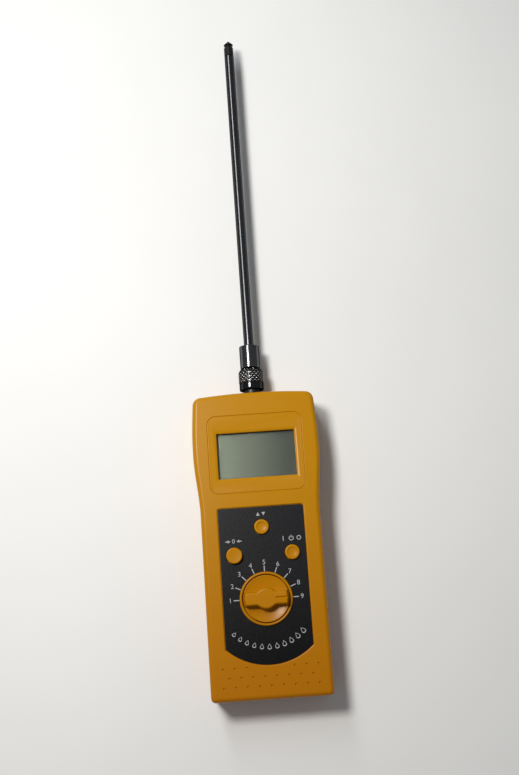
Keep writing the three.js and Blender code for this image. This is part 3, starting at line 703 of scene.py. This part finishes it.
def front_shell():
    shell = case_loft("front_case", face_levels(PARTING_Z + GAP / 2))
    cut(shell, hollow([(z, WALL, 0) for z in (5.0, CEILING_Z)]))
    cut(shell, panel_recess(), bezel_cutter(), groove_cutter(), window_cutter(), pits_cutter())
    add(shell, peg(COLLAR_OUTER + 0.8, CEILING_Z - 1.8, FACE_Z - 0.4, 0, DIAL_Y, 96))
    cut(shell, peg(COLLAR_INNER, DIAL_BASE - GAP, FACE_Z + 2, 0, DIAL_Y, 96))
    add(shell, collar_ring())
    cut(shell, peg(3.2, CEILING_Z - 5, FACE_Z, 0, DIAL_Y))
    for x, y, radius, _, _ in BUTTONS.values():
        cut(shell, peg(radius + GAP, CEILING_Z - 3, FACE_Z + 1, x, y))
    cut(shell, socket_hole())
    return place(shell, YELLOW, "case", "yellow_plastic", "front_shell")


# ---------------- rear shell and cover
def foot(x, y):
    """A small round moulded foot."""
    profile = [(1.2, 0.0), (1.5, 0.08), (1.72, 0.28), (1.8, 0.5), (1.8, FOOT_HEIGHT + 0.4)]
    return turned("foot", profile, (x, y), segments=32)


def cover_space(grow, name, chamfer=0.0):
    """The space that the cover's plate takes, swept past the bottom end."""
    outline = rounded_rect(2 * COVER_HALF_WIDTH, 2 * COVER_LENGTH, COVER_CORNER, 0, 0, 10)
    levels = [(-2, chamfer - grow), (FOOT_HEIGHT, chamfer - grow)]
    levels += [(FOOT_HEIGHT + abs(chamfer), -grow), (FLOOR_Z + grow, -grow)]
    return stack(name, outline, levels)


def rail_space(grow):
    """The space that the cover's two side rails take."""
    half, high_y = COVER_HALF_WIDTH + 1.3 + grow, COVER_LENGTH - COVER_CORNER + grow
    return block("rails", (-half, -5, FLOOR_Z - 1 - grow), (half, high_y, FLOOR_Z + grow))


def add_bay_walls(shell, top):
    """The wall behind the battery bay, and the rib over each of the cover's rails."""
    reach, low = 29.8, FLOOR_Z - 0.5
    add(shell, block("bay_wall", (-reach, COVER_LENGTH - 0.2, low), (reach, COVER_LENGTH + 1.4, top)))
    for side in (-1, 1):
        near, far = sorted((side * (COVER_HALF_WIDTH - 0.6), side * (reach - 0.6)))
        add(shell, block("rib", (near, 1.5, low), (far, COVER_LENGTH, 4.8)))


def add_screw_post(shell, top, x, y):
    """A post with a well for one screw. The lower two start inside the battery bay."""
    post, well = 3.4, 2.35
    if y < COVER_LENGTH:
        low, profile = 6.5, [(well, 5.0)]
    else:
        low, mouth = FLOOR_Z - 0.5, [(2.75, -1), (2.75, -0.01), (2.45, 0.12)]
        profile = [(radius, FOOT_HEIGHT + z) for radius, z in mouth] + [(well, 1.2)]
    add(shell, peg(post, low, top, x, y, 32))
    cut(shell, turned("well", profile + [(well, 8.0)], (x, y), segments=40))


def label_recess():
    """A shallow seat for the label."""
    margin = 0.6
    outline = rounded_rect(LABEL_SIZE[0] + margin, LABEL_SIZE[1] + margin, 1.0, 0, LABEL_Y, 6)
    levels = [(-1, -0.1), (-0.02, -0.1), (0.08, 0), (0.35, 0)]
    return stack("label_recess", outline, [(FOOT_HEIGHT + z, inset) for z, inset in levels])


def rear_shell():
    top = PARTING_Z - GAP / 2
    shell = case_loft("rear_case", back_levels(top))
    levels = [(FLOOR_Z, WALL + 2), (FLOOR_Z + 0.7, WALL + 0.6), (FLOOR_Z + 2, WALL), (PARTING_Z + 1, WALL)]
    cut(shell, hollow([(z, inset, grip_at(z)) for z, inset in levels]))
    add_bay_walls(shell, top)
    for x, y in SCREWS:
        add_screw_post(shell, top, x, y)
    cut(shell, cover_space(GAP, "cover_space", -0.2), rail_space(GAP), label_recess())
    for side in (-1, 1):
        add(shell, foot(side * 20.5, BODY_LENGTH - 13.5))
    cut(shell, socket_hole())
    return place(shell, YELLOW, "case", "yellow_plastic", "rear_shell")


def arrow_outline(inset):
    """An arrow towards the bottom end, which is the way the cover slides."""
    tip_y, half, shaft, head, length = 19.5, 6.5, 3.4, 6.0, 12.0
    shoulder_y, end_y, wing = tip_y + head - inset, tip_y + length - inset, half - 2.2 * inset
    right = [(wing, shoulder_y), (shaft - inset, shoulder_y), (shaft - inset, end_y)]
    return [(0, tip_y + 1.35 * inset)] + right + [(-x, y) for x, y in reversed(right)]


def grip_dots():
    """Rows of low dots: wider rows in the arrow's head, even ones in its shaft."""
    pitch, row_pitch, first_y, shaft_y = 0.95, 0.85, 21.6, 24.9
    widest_y, head_reach, shaft_reach, slope = 24.4, 4.4, 2.2, 0.9
    profile = [(0.1, -0.4), (0.22, -0.34), (0.3, -0.15), (0.3, 0.2)]
    profile = [(radius, FOOT_HEIGHT + z) for radius, z in profile]
    dots = []
    for row in range(12):
        y = first_y + row * row_pitch
        reach = head_reach - abs(widest_y - y) * slope if y < shaft_y else shaft_reach
        columns = int(max(reach, 0) / pitch)
        for column in range(-columns, columns + 1):
            x = column * pitch + (0.24 if row % 2 else -0.24)
            if abs(x) < reach:
                dots.append(turned("dot", profile, (x, y), segments=12))
    return join("dots", dots)


def arrow_grip():
    """A raised arrow with a sunk field of grip dots."""
    rim, levels = 0.8, [(-0.45, 0.2), (-0.3, 0), (0.5, 0)]
    arrow = stack("arrow", arrow_outline, [(FOOT_HEIGHT + z, inset) for z, inset in levels])
    cut(arrow, stack("field", arrow_outline, [(FOOT_HEIGHT - 2, rim), (FOOT_HEIGHT - 0.15, rim)]))
    return add(arrow, grip_dots())


def battery_cover():
    cover = case_loft("cover_plate", back_levels(PARTING_Z))
    overlap(cover, cover_space(0, "cover_plate_space", 0.15))
    rails = case_loft("rail_body", back_levels(PARTING_Z))
    add(cover, overlap(rails, rail_space(0)))
    cut(cover, block("end_trim", (-40, -5, -5), (40, 0.05, 20)))
    add(cover, arrow_grip())
    for side in (-1, 1):
        add(cover, foot(side * 18.8, 8))
    cover.name = "battery_door"
    return place(cover, YELLOW, "cover", "yellow_plastic", "battery_cover")


# ---------------- dial
def dish_z(radius):
    """The disc's hollow top at a distance from its axis."""
    return DISH_FLOOR + (DIAL_RIM - DISH_FLOOR) * (radius / DIAL_RADIUS) ** 2


def dial_disc():
    """The dial's disc: a rounded rim about a shallow dish."""
    rim_round, steps = 0.35, 24
    profile = [(CORE, DIAL_BASE), (DIAL_RADIUS - 0.3, DIAL_BASE), (DIAL_RADIUS, DIAL_BASE + 0.3)]
    profile += arc((DIAL_RADIUS - rim_round, DIAL_RIM - rim_round), rim_round, 0, 90, 6)
    for i in range(1, steps + 1):
        radius = (DIAL_RADIUS - 2 * rim_round) * (1 - i / steps) + CORE
        profile.append((radius, dish_z(radius)))
    return turned("selector", profile, (0, DIAL_Y), segments=128)


def bar_half_width(x):
    """Half the bar's width at x: straight sides that flow into the round hub."""
    hub = math.sqrt(max(HUB_RADIUS**2 - x * x, 0.0))
    sharp = 9.0
    return (BAR_HALF**sharp + hub**sharp) ** (1 / sharp)


def bar_section(x):
    """Across the bar: a fillet up from the dish, sides that lean in, and a rounded top edge."""
    fillet, top_round, lean = 0.7, 1.2, 0.07
    half = bar_half_width(x)
    foot_z = dish_z(min(math.hypot(x, half), DIAL_RADIUS))
    wall_top = BAR_TOP - top_round
    inward = lean * (wall_top - foot_z - fillet)
    right = [(half + fillet, foot_z - 0.25)]
    right += arc((half + fillet, foot_z + fillet), fillet, 245, 180, 5)
    right += arc((half - inward - top_round, wall_top), top_round, 0, 90, 6)
    left = [(-y, z) for y, z in reversed(right)]
    return right + left + [(-half, DIAL_BASE + 0.5), (half, DIAL_BASE + 0.5)]


def bar_limit():
    """The round space that the bar keeps to: its ends lean in and are rounded at the top."""
    lean, rounding = 1.0, 0.8
    low, side = DIAL_BASE + 0.3, DIAL_RADIUS - 0.1
    profile = [(CORE, low), (side, low), (side, DIAL_RIM - 0.3)]
    profile += arc((DIAL_RADIUS - lean - rounding, BAR_TOP - rounding), rounding, 10, 60, 5)
    profile += [(DIAL_RADIUS - lean - 2.45 * rounding, BAR_TOP + 0.5), (CORE, BAR_TOP + 0.5)]
    return turned("limit", profile, (0, DIAL_Y), segments=96)


def dial_bar():
    """The handle across the dial."""
    steps, reach = 120, DIAL_RADIUS + 0.6
    stations = [-reach + 2 * reach * i / steps for i in range(steps + 1)]
    rings = [[(x, DIAL_Y + y, z) for y, z in bar_section(x)] for x in stations]
    return overlap(loft("bar", rings), bar_limit())


def pointer_groove():
    """The groove that marks the bar's pointing end."""
    start, half, depth = 4.8, 0.7, 0.6
    section = [(-half, 0.01), (0, -depth), (half, 0.01), (half, 1), (-half, 1)]
    ends = (start, DIAL_RADIUS + 1)
    return loft("pointer", [[(x, DIAL_Y + y, BAR_TOP + z) for y, z in section] for x in ends])


def dial():
    disc = add(dial_disc(), dial_bar())
    cut(disc, pointer_groove(), peg(2.95, DIAL_BASE - 1, DIAL_BASE + 4, 0, DIAL_Y, 40))
    return place(disc, SMOOTH_YELLOW, "dial", "yellow_plastic", "selector_dial")


# ---------------- buttons and panel
def sunk_top(reach, rim_z, depth, steps=12):
    """A shallow dish, from its rim in to the axis."""
    shares = [1 - i / steps for i in range(steps + 1)]
    return [(max(reach * share, CORE), rim_z - depth * (1 - share * share)) for share in shares]


def dished_top(radius, top):
    """A raised lip round a shallow dish."""
    lip, lip_round = radius - 1.6, 0.5
    return arc((lip + lip_round, top - lip_round), lip_round, 90, 170, 6) + sunk_top(lip, top - 0.4, 0.2)


def push_button(name, x, y, radius, top, dished):
    """A button's cap over a flange that holds it in the case, and a stem down to its switch."""
    stem_low, stem, edge = 21.2, 1.6, 0.55
    flange_top, flange = CEILING_Z - GAP, radius + 1.3
    profile = [(CORE, stem_low), (stem, stem_low), (stem, flange_top - 1), (flange, flange_top - 1)]
    profile += [(flange, flange_top), (radius, flange_top)]
    profile += arc((radius - edge, top - edge), edge, 0, 90, 8)
    profile += dished_top(radius, top) if dished else sunk_top(radius - edge, top, 0.16)[1:]
    button = turned(name + "_cap", profile, (x, y), segments=72)
    body = name.replace("button_", "") + "_key"
    return place(button, SMOOTH_YELLOW, body, "yellow_plastic", name)


def opening(radius, x, y, segments):
    """A round opening through the panel, its upper edge broken."""
    bevel = 0.08
    profile = [(radius, FACE_Z - 2), (radius, PANEL_FACE - bevel)]
    profile += [(radius + bevel, PANEL_FACE + 0.01), (radius + bevel, FACE_Z + 1)]
    return turned("opening", profile, (x, y), segments=segments)


def panel():
    margin = 0.35
    levels = [(z, inset + margin) for z, inset in rounded_levels(FACE_Z - 0.5, PANEL_FACE, 0, 0.1, 3)]
    sheet = stack("overlay", panel_outline, levels)
    cut(sheet, opening(COLLAR_OUTER + 0.12, 0, DIAL_Y, 96))
    for x, y, radius, _, _ in BUTTONS.values():
        cut(sheet, opening(radius + GAP, x, y, 64))
    return place(sheet, SLATE, "case", "slate_print", "control_panel")


def mark(outline_points):
    """A printed mark: a thin flat shape on the panel."""
    return loft("mark", [[(x, y, z) for x, y in outline_points] for z in (INK_LOW, INK_TOP)])


def outline_mark(outer, inner):
    """A printed line between two outlines."""
    sides = ((outer, INK_LOW), (outer, INK_TOP), (inner, INK_TOP), (inner, INK_LOW))
    return loft("mark", [[(x, y, z) for x, y in points] for points, z in sides], closed=True)


def bar_mark(x0, y0, x1, y1, width):
    """A straight printed line."""
    length = math.hypot(x1 - x0, y1 - y0)
    nx, ny = -(y1 - y0) / length * width / 2, (x1 - x0) / length * width / 2
    return mark([(x0 + nx, y0 + ny), (x0 - nx, y0 - ny), (x1 - nx, y1 - ny), (x1 + nx, y1 + ny)])


def digit(text, x, y, size):
    """A plain numeral, upright, centred on (x, y)."""
    font_size_per_height = 1.38
    curve = bpy.data.curves.new("digit", "FONT")
    curve.body = text
    curve.size = size * font_size_per_height * MM
    curve.extrude = (INK_TOP - INK_LOW) / 2 * MM
    curve.align_x = "CENTER"
    curve.align_y = "CENTER"
    curve.resolution_u = 6
    text_object = link_object("digit", curve)
    graph = bpy.context.evaluated_depsgraph_get()
    mesh = bpy.data.meshes.new_from_object(text_object.evaluated_get(graph))
    bpy.data.objects.remove(text_object)
    mesh.transform(Matrix.Translation((x * MM, END_Y + y * MM, (INK_LOW + INK_TOP) / 2 * MM)))
    return link_object("digit", mesh)


def dial_scale():
    """Nine ticks and numerals, from 1 on the left over the top to 9 on the right."""
    count, tick_from, tick_to, tick_width, number_radius = 9, 14.0, 16.9, 0.5, 18.6
    marks = []
    for i in range(count):
        angle = math.radians(180 - 180 * i / (count - 1))
        cx, cy = math.cos(angle), math.sin(angle)
        tick = (tick_from * cx, DIAL_Y + tick_from * cy, tick_to * cx, DIAL_Y + tick_to * cy)
        marks.append(bar_mark(*tick, tick_width))
        marks.append(digit(str(i + 1), number_radius * cx, DIAL_Y + number_radius * cy, 2.5))
    return marks


def up_down_marks(x, y):
    """Two triangles: up and down."""
    marks = []
    for side in (-1, 1):
        foot, far, near, middle = y + side * 0.9, x + side * 2.4, x + side * 0.5, x + side * 1.45
        marks.append(mark([(far, foot), (near, foot), (middle, y - side * 0.9)]))
    return marks


def zero_marks(x, y):
    """A nought between two arrows that point to it: set to zero."""
    marks = [digit("0", x, y, 2.3)]
    for side in (-1, 1):
        tip = x + side * 1.6
        back, half = tip + side * 1.5, side * 0.8
        marks.append(mark([(tip, y), (back, y + half), (back, y - half)]))
        marks.append(bar_mark(tip + side * 1.6, y, tip + side * 2.7, y, 0.45))
    return marks


def power_marks(x, y):
    """The usual power sign between a bar for on and a ring for off."""
    line = 0.42
    off = circle(1.2, x + 4.0, y, 24)
    return [
        mark(arc((x, y), 1.3, 125, 415, 24) + arc((x, y), 0.9, 415, 125, 24)),
        bar_mark(x, y + 0.2, x, y + 1.55, line),
        bar_mark(x - 4.2, y - 1.2, x - 4.2, y + 1.2, line),
        outline_mark(off(0), off(0.4)),
    ]


def drop_points(x, y, size, turn):
    """A plain water drop, pointing down before it is turned."""
    steps, cos_turn, sin_turn = 24, math.cos(turn), math.sin(turn)
    points = []
    for i in range(steps):
        a = 2 * math.pi * i / steps
        u = 0.5 * size * math.sin(a) * math.sin(a / 2) ** 1.5
        v = -0.5 * size * math.cos(a)
        points.append((x + u * cos_turn - v * sin_turn, y + u * sin_turn + v * cos_turn))
    return points


def drop_arc():
    """A row of drops along an arc under the dial, from small to large: dry to wet."""
    count, centre_y, radius, spread = 11, DIAL_Y + 1.3, 25.4, 44
    smallest, growth, line = 2.6, 0.8, 0.45
    marks = []
    for i in range(count):
        angle = math.radians(-90 + spread * (2 * i / (count - 1) - 1))
        size = smallest + growth * i / (count - 1)
        x, y = radius * math.cos(angle), centre_y + radius * math.sin(angle)
        turn = angle - math.pi / 2
        marks.append(outline_mark(drop_points(x, y, size, turn), drop_points(x, y, size - 2 * line, turn)))
    return marks


def panel_print():
    zero_x, zero_y = BUTTONS["button_zero"][:2]
    power_x, power_y = BUTTONS["button_power"][:2]
    marks = dial_scale() + up_down_marks(0, PANEL_TOP - 4.1)
    marks += zero_marks(zero_x, zero_y + 7.4) + power_marks(power_x, power_y + 7.3) + drop_arc()
    return place(join("panel_print", marks), INK, "case", "silver_label", crisp=None)


# ---------------- display
def pane(name, node, corner, corner_steps, low_round, high_round):
    """A flat pane with rounded edges in the box of its CAD node."""
    low, high = box_of(node)
    size = high - low
    outline = rounded_rect(size.x, size.y, corner, 0, low.y + size.y / 2, corner_steps)
    return stack(name, outline, rounded_levels(low.z, high.z, low_round, high_round, 2))


def display():
    window = pane("window_lens", "display_window", 1.0, 4, 0.1, 0.1)
    place(window, WINDOW, "case", "clear_window", "display_window")
    glass = pane("lcd_panel", "lcd_glass", 0.3, 3, 0.1, 0.15)
    place(glass, LCD, "case", "lcd", "lcd_glass")


# ---------------- probe socket
def bayonet_lug(side):
    """One of the two lugs that the nut's slots hook over."""
    to_side = Matrix.Rotation(math.radians(-90 * side), 4, "Y")
    lug = stack("lug", circle(0.9, 0, BODY_LENGTH + 8, 24), [(3.9, 0), (5.4, 0), (5.5, 0.1)])
    lug.data.transform(Matrix.Translation((0, 0, PROBE_Z * MM)) @ to_side)
    return lug


def socket():
    inner, outer, thread, flange = 3.5, 4.3, 4.6, 6.3
    back = [(thread, -9), (thread, 0.3), (flange - 0.1, 0.3), (flange, 0.4), (flange, 0.9), (6.1, 1.1)]
    profile = [(radius, BODY_LENGTH + y) for radius, y in back + [(outer, 1.5)]]
    profile += [(outer, SOCKET_END - 0.3), (outer - 0.2, SOCKET_END), (inner + 0.2, SOCKET_END)]
    profile += [(inner, SOCKET_END - 0.3), (inner, BODY_LENGTH - 9)]
    shell = turned_tube("socket_barrel", profile)
    for side in (-1, 1):
        add(shell, bayonet_lug(side))
    # The socket's chrome is darkened with painted shade.
    return place(shell, SHADED_DULL_CHROME, "case", "chrome", "socket_shell")


# ---------------- coupling nut
def knurl(angle, y):
    """Depth of the diamond knurl: rounded studs between two crossing sets of grooves."""
    depth, pitch = 0.5, 2 * math.pi * NUT_RADIUS / KNURL_COUNT
    turns = KNURL_COUNT * angle / (2 * math.pi)
    studs = [math.cos(math.pi * (turns + sign * y / pitch)) ** 2 for sign in (1, -1)]
    return depth * (1 - studs[0] * studs[1])


def knurled_ring(radius, y, segments, knurled):
    """One ring of points round the nut."""
    angles = [2 * math.pi * i / segments for i in range(segments)]
    reach = [radius - (knurl(a, y) if knurled else 0.0) for a in angles]
    return [(r * math.cos(a), y, PROBE_Z - r * math.sin(a)) for a, r in zip(angles, reach)]


def coupling_nut():
    """A plain skirt, a relief groove, a knurled band with a sloping end, and the bore."""
    skirt, relief, bore, mouth = NUT_RADIUS - 0.3, NUT_RADIUS - 0.55, 5.7, 4.7
    rows, knurl_high, end_slope = 60, NUT_HIGH - 0.3, 0.6
    outer = [(5.8, NUT_LOW + 0.1), (5.95, NUT_LOW), (skirt - 0.25, NUT_LOW), (skirt - 0.07, NUT_LOW + 0.07)]
    outer += [(skirt, NUT_LOW + 0.25), (skirt, NUT_LOW + 1.5), (skirt, KNURL_LOW - 0.5)]
    outer += [(relief, KNURL_LOW - 0.35), (relief, KNURL_LOW - 0.1)]
    band = []
    for i in range(rows + 1):
        y = KNURL_LOW + (knurl_high - KNURL_LOW) * i / rows
        low_shrink = max(0.3 - (y - KNURL_LOW), 0)
        high_shrink = max(1.2 - (knurl_high - y), 0) * end_slope
        band.append((NUT_RADIUS - low_shrink - high_shrink, y))
    inner = [(5.9, NUT_HIGH), (4.9, NUT_HIGH), (mouth, NUT_HIGH - 0.2), (mouth, NUT_HIGH - 1.3)]
    inner += [(bore, NUT_HIGH - 1.3), (bore, NUT_LOW + 0.3)]
    rings = []
    for points, knurled in ((outer, False), (band, True), (inner, False)):
        rings += [knurled_ring(radius, y, 12 * KNURL_COUNT, knurled) for radius, y in points]
    nut = loft("bayonet_nut", rings, closed=True)
    return place(nut, KNURLED, "nut", "chrome", "coupling_nut", crisp=40)


# ---------------- probe
def probe_sleeve():
    low, bore = NUT_HIGH + 0.3, ROD_RADIUS + 0.3
    profile = [(4.5, low), (4.75, NUT_HIGH + 0.35)]
    profile += arc((SLEEVE_RADIUS - 0.5, NUT_HIGH + 1.3), 0.5, -60, 0, 4)
    profile += arc((SLEEVE_RADIUS - 0.6, SLEEVE_HIGH - 0.6), 0.6, 0, 80, 6)
    profile += [(ROD_RADIUS + 0.5, SLEEVE_HIGH), (bore, SLEEVE_HIGH - 0.2), (bore, low)]
    place(turned_tube("sleeve", profile, 96), CHROME, "probe", "chrome", "probe_sleeve")


def plug_body():
    low, step_y, shoulder_y, bore = BODY_LENGTH + 3, SOCKET_END + 0.3, NUT_HIGH - 1.6, 1.9
    profile = [(3.0, low), (3.2, low + 0.2), (3.2, step_y), (5.1, step_y), (5.2, step_y + 0.1)]
    profile += [(5.2, shoulder_y - 0.1), (5.1, shoulder_y), (4.3, shoulder_y), (4.3, NUT_HIGH)]
    profile += [(bore, NUT_HIGH), (bore, low)]
    place(turned_tube("plug_core", profile), CHROME, "probe", "chrome", "plug_body")


def probe_rod():
    low, high, bore, steps = NUT_HIGH + 3, TIP_COLLAR_START - GAP, 1.9, 24
    bare = TIP_COLLAR_START - 0.4 - SLEEVE_HIGH
    profile = [(bore, low), (ROD_RADIUS, low)]
    profile += [(ROD_RADIUS, SLEEVE_HIGH + bare * i / steps) for i in range(steps + 1)]
    profile += [(ROD_RADIUS - 0.1, high), (bore, high)]
    place(turned_tube("steel_rod", profile, 96), STEEL, "probe", "polished_steel", "probe_rod")


def tip_collar():
    """The dark insulating collar, which narrows to the tip."""
    bore, start = 1.3, TIP_COLLAR_START
    profile = [(bore, start), (ROD_RADIUS - 0.1, start), (ROD_RADIUS, start + 0.1)]
    for shrink, back in ((0, 1.6), (0.25, 1.2), (0.55, 0.5), (0.6, 0)):
        profile.append((ROD_RADIUS - shrink, TIP_COLLAR_END - back))
    profile.append((bore, TIP_COLLAR_END))
    place(turned_tube("tip_collar", profile), BLACK, "probe", "black_plastic", "tip_insulator")


def probe_tip():
    stem, stem_low, cone_low = 1, TIP_COLLAR_END - 5, TIP_COLLAR_END + 0.3
    profile = [(CORE, stem_low), (stem, stem_low), (stem, cone_low), (ROD_RADIUS - 0.15, cone_low)]
    profile += [(ROD_RADIUS, cone_low + 0.15), (ROD_RADIUS - 0.02, cone_low + 0.35)]
    profile += [(0.3, TIP_Y - 0.3), (0.18, TIP_Y - 0.1), (0.04, TIP_Y)]
    tip = turned("steel_tip", profile, (0, PROBE_Z), "Y", 72)
    place(tip, STEEL, "probe", "polished_steel", "probe_tip")


# ---------------- label, screws, battery
def rating_label():
    levels = rounded_levels(FOOT_HEIGHT + 0.12, FOOT_HEIGHT + 0.3, 0.06, 0, 2)
    plate = stack("blank_label", rounded_rect(*LABEL_SIZE, 0.8, 0, LABEL_Y, 6), levels)
    place(plate, LABEL, "case", "silver_label", "rating_label")


def case_screws():
    """Four screws with a cross slot, heads down in their wells."""
    head_low, head_high, head, thread, thread_high = 5.6, 7.6, 2.0, 1.05, 20.0
    slot_long, slot_half, slot_depth = 1.3, 0.34, 0.9
    profile = [(CORE, head_low), (1.2, head_low), (1.75, head_low + 0.2), (head, head_low + 0.6)]
    profile += [(head, head_high), (thread, head_high + 0.3), (thread, thread_high)]
    profile.append((CORE, thread_high + 0.6))
    for i, (x, y) in enumerate(SCREWS):
        screw = turned(f"screw_{i + 1}", profile, (x, y), segments=40)
        for half_x, half_y in ((slot_long, slot_half), (slot_half, slot_long)):
            slot_low = (x - half_x, y - half_y, head_low - 1)
            cut(screw, block("slot", slot_low, (x + half_x, y + half_y, head_low + slot_depth)))
        place(screw, ZINC, "case", "zinc_steel", f"case_screw_{i + 1}")


def battery():
    """The can, with a rolled seam near each end."""
    low, high = box_of("battery_9v")
    size, middle = high - low, (low + high) / 2
    outline = rounded_rect(size.z, size.y, 2.2, middle.z, middle.y, 8)
    seam = [(0.0, 0.7), (0.15, 0.45), (0.5, 0.2), (0.8, 0.12), (1.0, 0.3), (1.3, 0.3), (1.5, 0.12)]
    stations = [(low.x + d, inset) for d, inset in seam]
    stations += [(high.x - d, inset) for d, inset in reversed(seam)]
    rings = [[(x, y, z) for z, y in outline(inset)] for x, inset in stations]
    place(loft("block_battery", rings), BATTERY, "case", "battery_can", "battery_9v")


# ---------------- pieces that keep their CAD shape
CARRIED = {
    WHITE: ["lcd_holder"],
    RUBBER: ["contact_strip_1", "contact_strip_2"],
    FOAM: ["battery_pad"],
    ZINC: ["switch_shaft", "board_screw_1", "board_screw_2", "socket_washer", "socket_nut"],
    BLACK: [
        "rotary_switch", "tact_switch_mode", "tact_switch_zero", "tact_switch_power",
        "processor_chip", "amplifier_chip", "battery_snap",
    ],
    BOARD: ["main_board"],
    RED_WIRE: ["battery_lead_red", "signal_lead"],
    BLACK_WIRE: ["battery_lead_black"],
    INSULATOR: ["socket_insulator", "inner_insulator"],
    BRASS: ["socket_contact", "inner_conductor"],
}


def finish_carried():
    """Gives the hidden pieces, which keep their CAD shape, their materials."""
    for material, names in CARRIED.items():
        for name in names:
            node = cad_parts[name]
            node.data.materials.clear()
            node.data.materials.append(material)


# ---------------- floor and light
def area_light(name, shape, place_at, aim, size, power, colour):
    """A soft lamp: size is across and along the direction it leans."""
    data = bpy.data.lights.new(name, "AREA")
    data.shape = shape
    data.size, data.size_y = size
    data.energy = power
    data.color = colour
    facing = (Vector(aim) - Vector(place_at)).to_track_quat("-Z", "Y")
    link_object(name, data).matrix_world = Matrix.Translation(place_at) @ facing.to_matrix().to_4x4()


def studio():
    """A pale floor, a warm key lamp and a cool strip that lights the probe's length."""
    size = 3.0
    mesh = bpy.data.meshes.new("floor")
    corners = [(-size, -size, 0), (size, -size, 0), (size, size, 0), (-size, size, 0)]
    mesh.from_pydata(corners, [], [(0, 1, 2, 3)])
    mesh.materials.append(floor_surface())
    link_object("floor", mesh)

    world = bpy.data.worlds.new("studio")
    world.use_nodes = True
    background = world.node_tree.nodes["Background"]
    background.inputs["Color"].default_value = (0.96, 0.98, 1.0, 1)
    background.inputs["Strength"].default_value = 0.18
    bpy.context.scene.world = world

    warm, cool = (1.0, 0.96, 0.90), (0.95, 0.99, 1.0)
    area_light("key", "DISK", (-0.21, 0.08, 0.62), (0, 0, 0), (0.14, 0.14), 2.6, warm)
    area_light("strip", "RECTANGLE", (-0.22, 0.37, 0.60), (-0.22, 0.05, 0), (0.15, 0.56), 2.0, cool)


# ---------------- assembly
studio()
front_shell()
rear_shell()
battery_cover()
dial()
for button_name, button_values in BUTTONS.items():
    push_button(button_name, *button_values)
panel()
panel_print()
display()
socket()
coupling_nut()
probe_sleeve()
plug_body()
probe_rod()
tip_collar()
probe_tip()
rating_label()
case_screws()
battery()
finish_carried()
